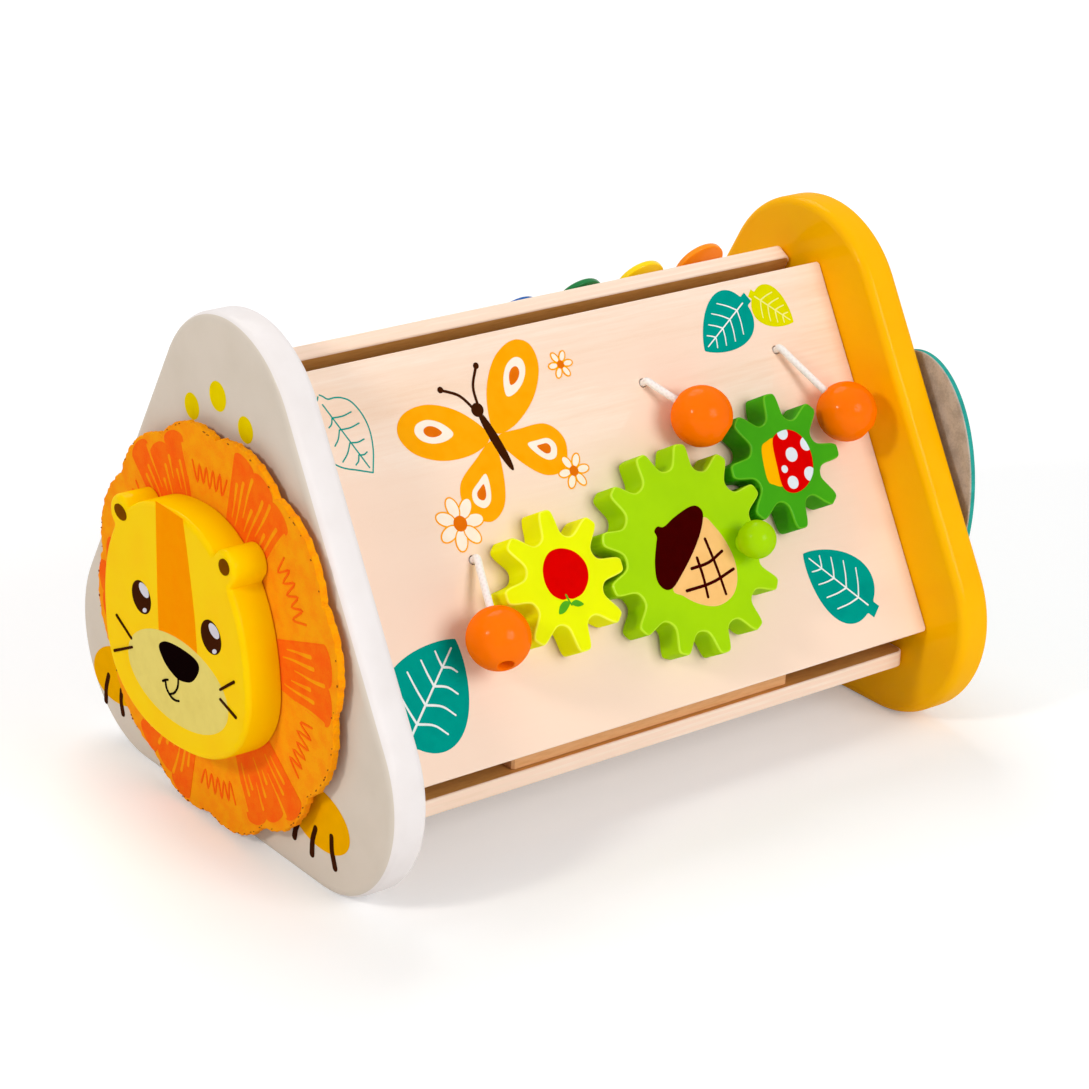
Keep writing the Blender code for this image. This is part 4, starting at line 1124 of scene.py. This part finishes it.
def outlinedLeaf(at):
    # leaf drawn in thin lines alone: its margin in two strokes, the midrib and the veins
    tip = (28.8, 118.8)
    margins = (((15.4, 151.8), (16.7, 151.0), (18.5, 149.6), (21.5, 149.6), (24.7, 148.9), (28.2, 146.6),
                (31.2, 141.3), (32.5, 134.7), (31.6, 127.1), tip),
               ((14.6, 151.2), (13.4, 149.4), (10.6, 147.6), (7.9, 143.0), (7.2, 136.5), (9.6, 129.6),
                (15.5, 123.8), (23.5, 120.7), tip))
    midrib = at((15.6, 148.0), (27.9, 121.0))
    joints = (((18.0, 142.3), (26.8, 143.0), (15.6, 139.0)), ((19.7, 137.3), (28.8, 138.2), (15.9, 131.8)),
              ((22.6, 131.7), (29.0, 131.9), (17.3, 125.3)), ((24.9, 126.5), (28.7, 126.9), (22.5, 123.1)))
    veins = [bent(joint, end, (0.3, -0.5)) for joint, *ends in joints for end in ends]
    return (strokes(at, "tealInk", (0.6, 0.6), *margins, count=8) + [(stroke(midrib, 0.6, 0.6), "tealInk")]
            + strokes(at, "tealInk", (0.6, 0.6), *veins))


def flowerShapes(centre, size, petals):
    # round petals about a middle, each with a thin darker edge
    shapes = []
    for k in range(petals):
        turn = 2 * math.pi * k / petals
        place = np.array(centre) + 0.6 * size * np.array([math.cos(turn), math.sin(turn)])
        for inset, paint in ((0, "amberInk"), (0.6, "creamInk")):
            petal = ellipse(place, 0.42 * size - inset, 0.27 * size - inset, math.degrees(turn))
            shapes.append((petal, paint))
    shapes.append((ellipse(centre, 0.28 * size, 0.28 * size), "rustInk"))
    return shapes


def butterflyShapes(centre, size, degrees):
    # wings as smooth loops on a unit half, mirrored, with cream fields, rust spots and a dark body
    upper = smoothLoop([(0.04, 0.05), (0.2, 0.42), (0.5, 0.68), (0.82, 0.74), (1.0, 0.6), (0.95, 0.34),
                        (0.68, 0.1), (0.3, -0.02)], 8)
    lower = smoothLoop([(0.04, -0.02), (0.34, -0.08), (0.66, -0.2), (0.76, -0.46), (0.58, -0.7),
                        (0.32, -0.64), (0.12, -0.34)], 8)
    spin = spinMatrix(math.radians(degrees))
    shapes = []

    def add(outline, paint, side=1):
        flipped = np.asarray(outline) * np.array([side, 1.0]) * size
        shapes.append((flipped @ spin + np.array(centre), paint))

    for side in (1, -1):
        for wing, middle in ((upper, np.array((0.56, 0.38))), (lower, np.array((0.44, -0.36)))):
            add(wing, "amberInk", side)
            for share, paint in ((0.42, "creamInk"), (0.2, "rustInk")):
                add((wing - middle) * share + middle * 1.12, paint, side)
        add(stroke(smoothLine([(0.02, 0.32), (0.1, 0.56), (0.26, 0.72)], 8), 0.03, 0.03), "brownInk", side)
        add(ellipse((0.27, 0.73), 0.035, 0.035), "brownInk", side)
    add(ellipse((0, -0.04), 0.055, 0.36), "brownInk")
    add(ellipse((0, 0.34), 0.075, 0.075), "brownInk")
    return shapes


def makeBoardPrint():
    # five leaves, a butterfly and three small flowers
    at = measuredFrom(box["span"] / 2, box["boardWidth"] / 2)
    shapes = outlinedLeaf(at)
    for base, tip, width, paints, line, *bends in (
            ((8.0, 14.5), (43.4, 50.2), 38, ("tealInk", "whiteInk"), 1.0, (0.15, -0.02), (0.07, 0.12)),
            ((226.9, 153.2), (197.6, 135.3), 24, ("tealInk", "whiteInk"), 0.65),
            ((228.4, 154.6), (246.8, 138.8), 17.6, ("yellowGreenInk", "paleYellowInk"), 0.65),
            ((246.2, 13.6), (217.2, 45.0), 29, ("tealInk", "whiteInk"), 0.75)):
        shapes += leafShapes(at(base), at(tip), width, *paints, line, *bends)
    shapes += butterflyShapes(at((86, 121)), 37, 18)
    for centre, size, petals in (((60, 92), 11, 7), ((118, 101), 7.5, 6), ((126, 143), 6, 6)):
        shapes += flowerShapes(at(centre), size, petals)
    printFilm("boardPrint", shapes, "front", boardFace, "box", 0.002)


makeBoardPrint()


def keptInside(shape, outline):
    # points of a shape outside a star-shaped outline are drawn in to its edge, along lines to its middle
    middle = outline.mean(axis=0)
    rim = outline - middle
    order = np.argsort(np.arctan2(rim[:, 1], rim[:, 0]))
    rimAngle, rimReach = np.arctan2(rim[order, 1], rim[order, 0]), np.linalg.norm(rim[order], axis=1)
    away = shape - middle
    angle, reach = np.arctan2(away[:, 1], away[:, 0]), np.linalg.norm(away, axis=1)
    most = np.interp(angle, rimAngle, rimReach, period=2 * math.pi)
    return middle + away * np.minimum(1, most / reach)[:, None]


def makeWheelPrints():
    # apple with its stalk and leaves, acorn whose net of lines runs under its cap, spotted mushroom
    at = measuredFrom(box["span"] / 2, box["boardWidth"] / 2)
    apple = at((81.7, 67.4), (85.8, 71.9), (91.6, 72.6), (97.6, 70.0), (101.2, 64.8), (100.7, 58.8),
               (96.6, 54.0), (91.6, 52.6), (88.9, 53.3), (86.0, 53.4), (82.2, 56.4), (80.6, 61.6))
    shapes = [(smoothLoop(apple, 6), "redInk")]
    shapes += strokes(at, "leafInk", (0.8, 0.6), ((88.4, 54.8), (89.0, 52.4), (89.7, 50.4)), count=5)
    for leaf in (((89.2, 51.4), (87.0, 52.6), (84.3, 51.3), (82.9, 48.4), (86.0, 48.6)),
                 ((89.6, 51.0), (92.3, 51.9), (95.2, 49.6), (92.2, 49.2))):
        shapes.append((smoothLoop(at(*leaf), 5), "leafInk"))
    printFilm("applePrint", shapes, "front", wheelTop, "yellow_wheel")
    nut = at((150, 62), (161.6, 69.8), (166.6, 64.8), (170.3, 56.5), (171.4, 48.6), (169.6, 41.4),
             (165.0, 36.4), (157.1, 34.5), (148.8, 37.1), (142.0, 42.0), (138.4, 46.5))
    cap = at((137.2, 69.4), (139.3, 70.9), (142.3, 70.2), (148.9, 72.9), (157.4, 75.2), (161.4, 74.2),
             (162.4, 70.6), (158.6, 64.1), (152.0, 57.0), (143.3, 49.6), (137.8, 46.0), (133.9, 46.7),
             (131.9, 50.8), (133.2, 57.4), (136.2, 64.0), (137.6, 67.0))
    net = (((160.1, 61.3), (162.6, 38.1), 0), ((153.7, 54.9), (153.6, 38.9), 0),
           ((149.7, 51.4), (166.6, 54.9), 1.2), ((144.4, 43.5), (169.6, 46.8), 1.2))
    shapes = [(smoothLoop(nut, 6), "tanInk")]
    shapes += strokes(at, "maroonInk", (1.3, 1.2), *[bent(a, b, (0.4, -sag)) for a, b, sag in net])
    shapes.append((smoothLoop(cap, 6), "maroonInk"))
    printFilm("acornPrint", shapes, "front", wheelTop, "large_wheel")
    stem = at((209, 92), (203.0, 92.4), (200.4, 90.2), (199.2, 83.7), (199.0, 77.5), (201.0, 75.2),
              (207, 74.6))
    head = smoothLoop(at((206.6, 91.0), (209.0, 94.4), (214.9, 95.4), (220.0, 93.4), (223.4, 89.0),
                         (224.6, 83.0), (223.2, 76.8), (219.8, 72.6), (215.3, 70.2), (210.8, 69.6),
                         (206.9, 71.2), (205.3, 74.7), (205.7, 82.4)), 6)
    shapes = [(smoothLoop(stem, 6), "goldInk"), (head, "redInk")]
    dots = ovals(at, "coolWhiteInk", (213.0, 94.3, 2.7, 2.7), (223.3, 87.8, 2.9, 2.9),
                 (214.5, 85.0, 3.0, 3.0), (208.9, 80.0, 1.6, 1.6), (221.0, 75.5, 3.0, 3.0),
                 (211.2, 73.9, 2.7, 2.7))
    shapes += [(keptInside(dot, head), paint) for dot, paint in dots]
    printFilm("mushroomPrint", shapes, "front", wheelTop, "small_wheel")
    print("prints made")


makeWheelPrints()


def seenDirectly(tree):
    # 1 for rays of the camera and those that mirrors and clear things send on, otherwise 0
    rays = addNode(tree, "LightPath").outputs
    seen = addNode(tree, "Math", {0: rays["Is Camera Ray"], 1: rays["Is Glossy Ray"]}, operation="MAXIMUM")
    return addNode(tree, "Math", {0: seen, 1: rays["Is Transmission Ray"]}, operation="MAXIMUM")


def makeStudio():
    # pale floor that the camera and mirrors see as plain white, soft lamps and an even sky
    mesh = bpy.data.meshes.new("studioFloor")
    mesh.from_pydata([(-4, -4, 0), (4, -4, 0), (4, 4, 0), (-4, 4, 0)], [], [(0, 1, 2, 3)])
    material, tree = newFinish("paleBackdrop", "F0F0F0", 0.9, Specular_IOR_Level=0.0,
                               Emission_Color=(1, 1, 1, 1))
    away = addNode(tree, "VectorMath", {0: addNode(tree, "TexCoord").outputs["Object"]}, operation="LENGTH")
    level = addNode(tree, "MapRange", {"Value": away.outputs["Value"], "From Min": 0.6, "From Max": 2.2,
                                       "To Min": 0.22, "To Max": 1.0})
    addNode(tree, "Math", {0: seenDirectly(tree), 1: level}, "Emission Strength", operation="MULTIPLY")
    mesh.materials.append(material)
    floor = bpy.data.objects.new("studioFloor", mesh)
    bpy.context.scene.collection.objects.link(floor)
    world = bpy.data.worlds.new("studioSky")
    bpy.context.scene.world = world
    world.use_nodes = True
    tree = world.node_tree
    background = tree.nodes["Background"]
    background.inputs["Color"].default_value = (1, 1, 1, 1)
    level = addNode(tree, "Mix", {"Factor": seenDirectly(tree), "A": 0.38, "B": 1.0})
    tree.links.new(level.outputs["Result"], background.inputs["Strength"])
    lamps = (("keyLamp", (0.3, -1.7, 1.0), 1.0, 17.0, "FFFFFF"),
             ("sideLamp", (-1.5, -0.2, 1.05), 0.3, 9.2, "FFFAF2"),
             ("backLamp", (0.3, 1.1, 1.6), 1.2, 15.0, "FFFFFF"))
    for name, place, size, power, colour in lamps:
        data = bpy.data.lights.new(name, "AREA")
        data.shape = "DISK"
        data.size = size
        data.energy = power
        data.color = hexColour(colour)[:3]
        lamp = bpy.data.objects.new(name, data)
        lamp.location = place
        lamp.rotation_euler = (Vector((0, 0, 0.08)) - Vector(place)).to_track_quat("-Z", "Y").to_euler()
        bpy.context.scene.collection.objects.link(lamp)
    bpy.context.scene.view_settings.view_transform = "Standard"
    print("studio made")


makeStudio()
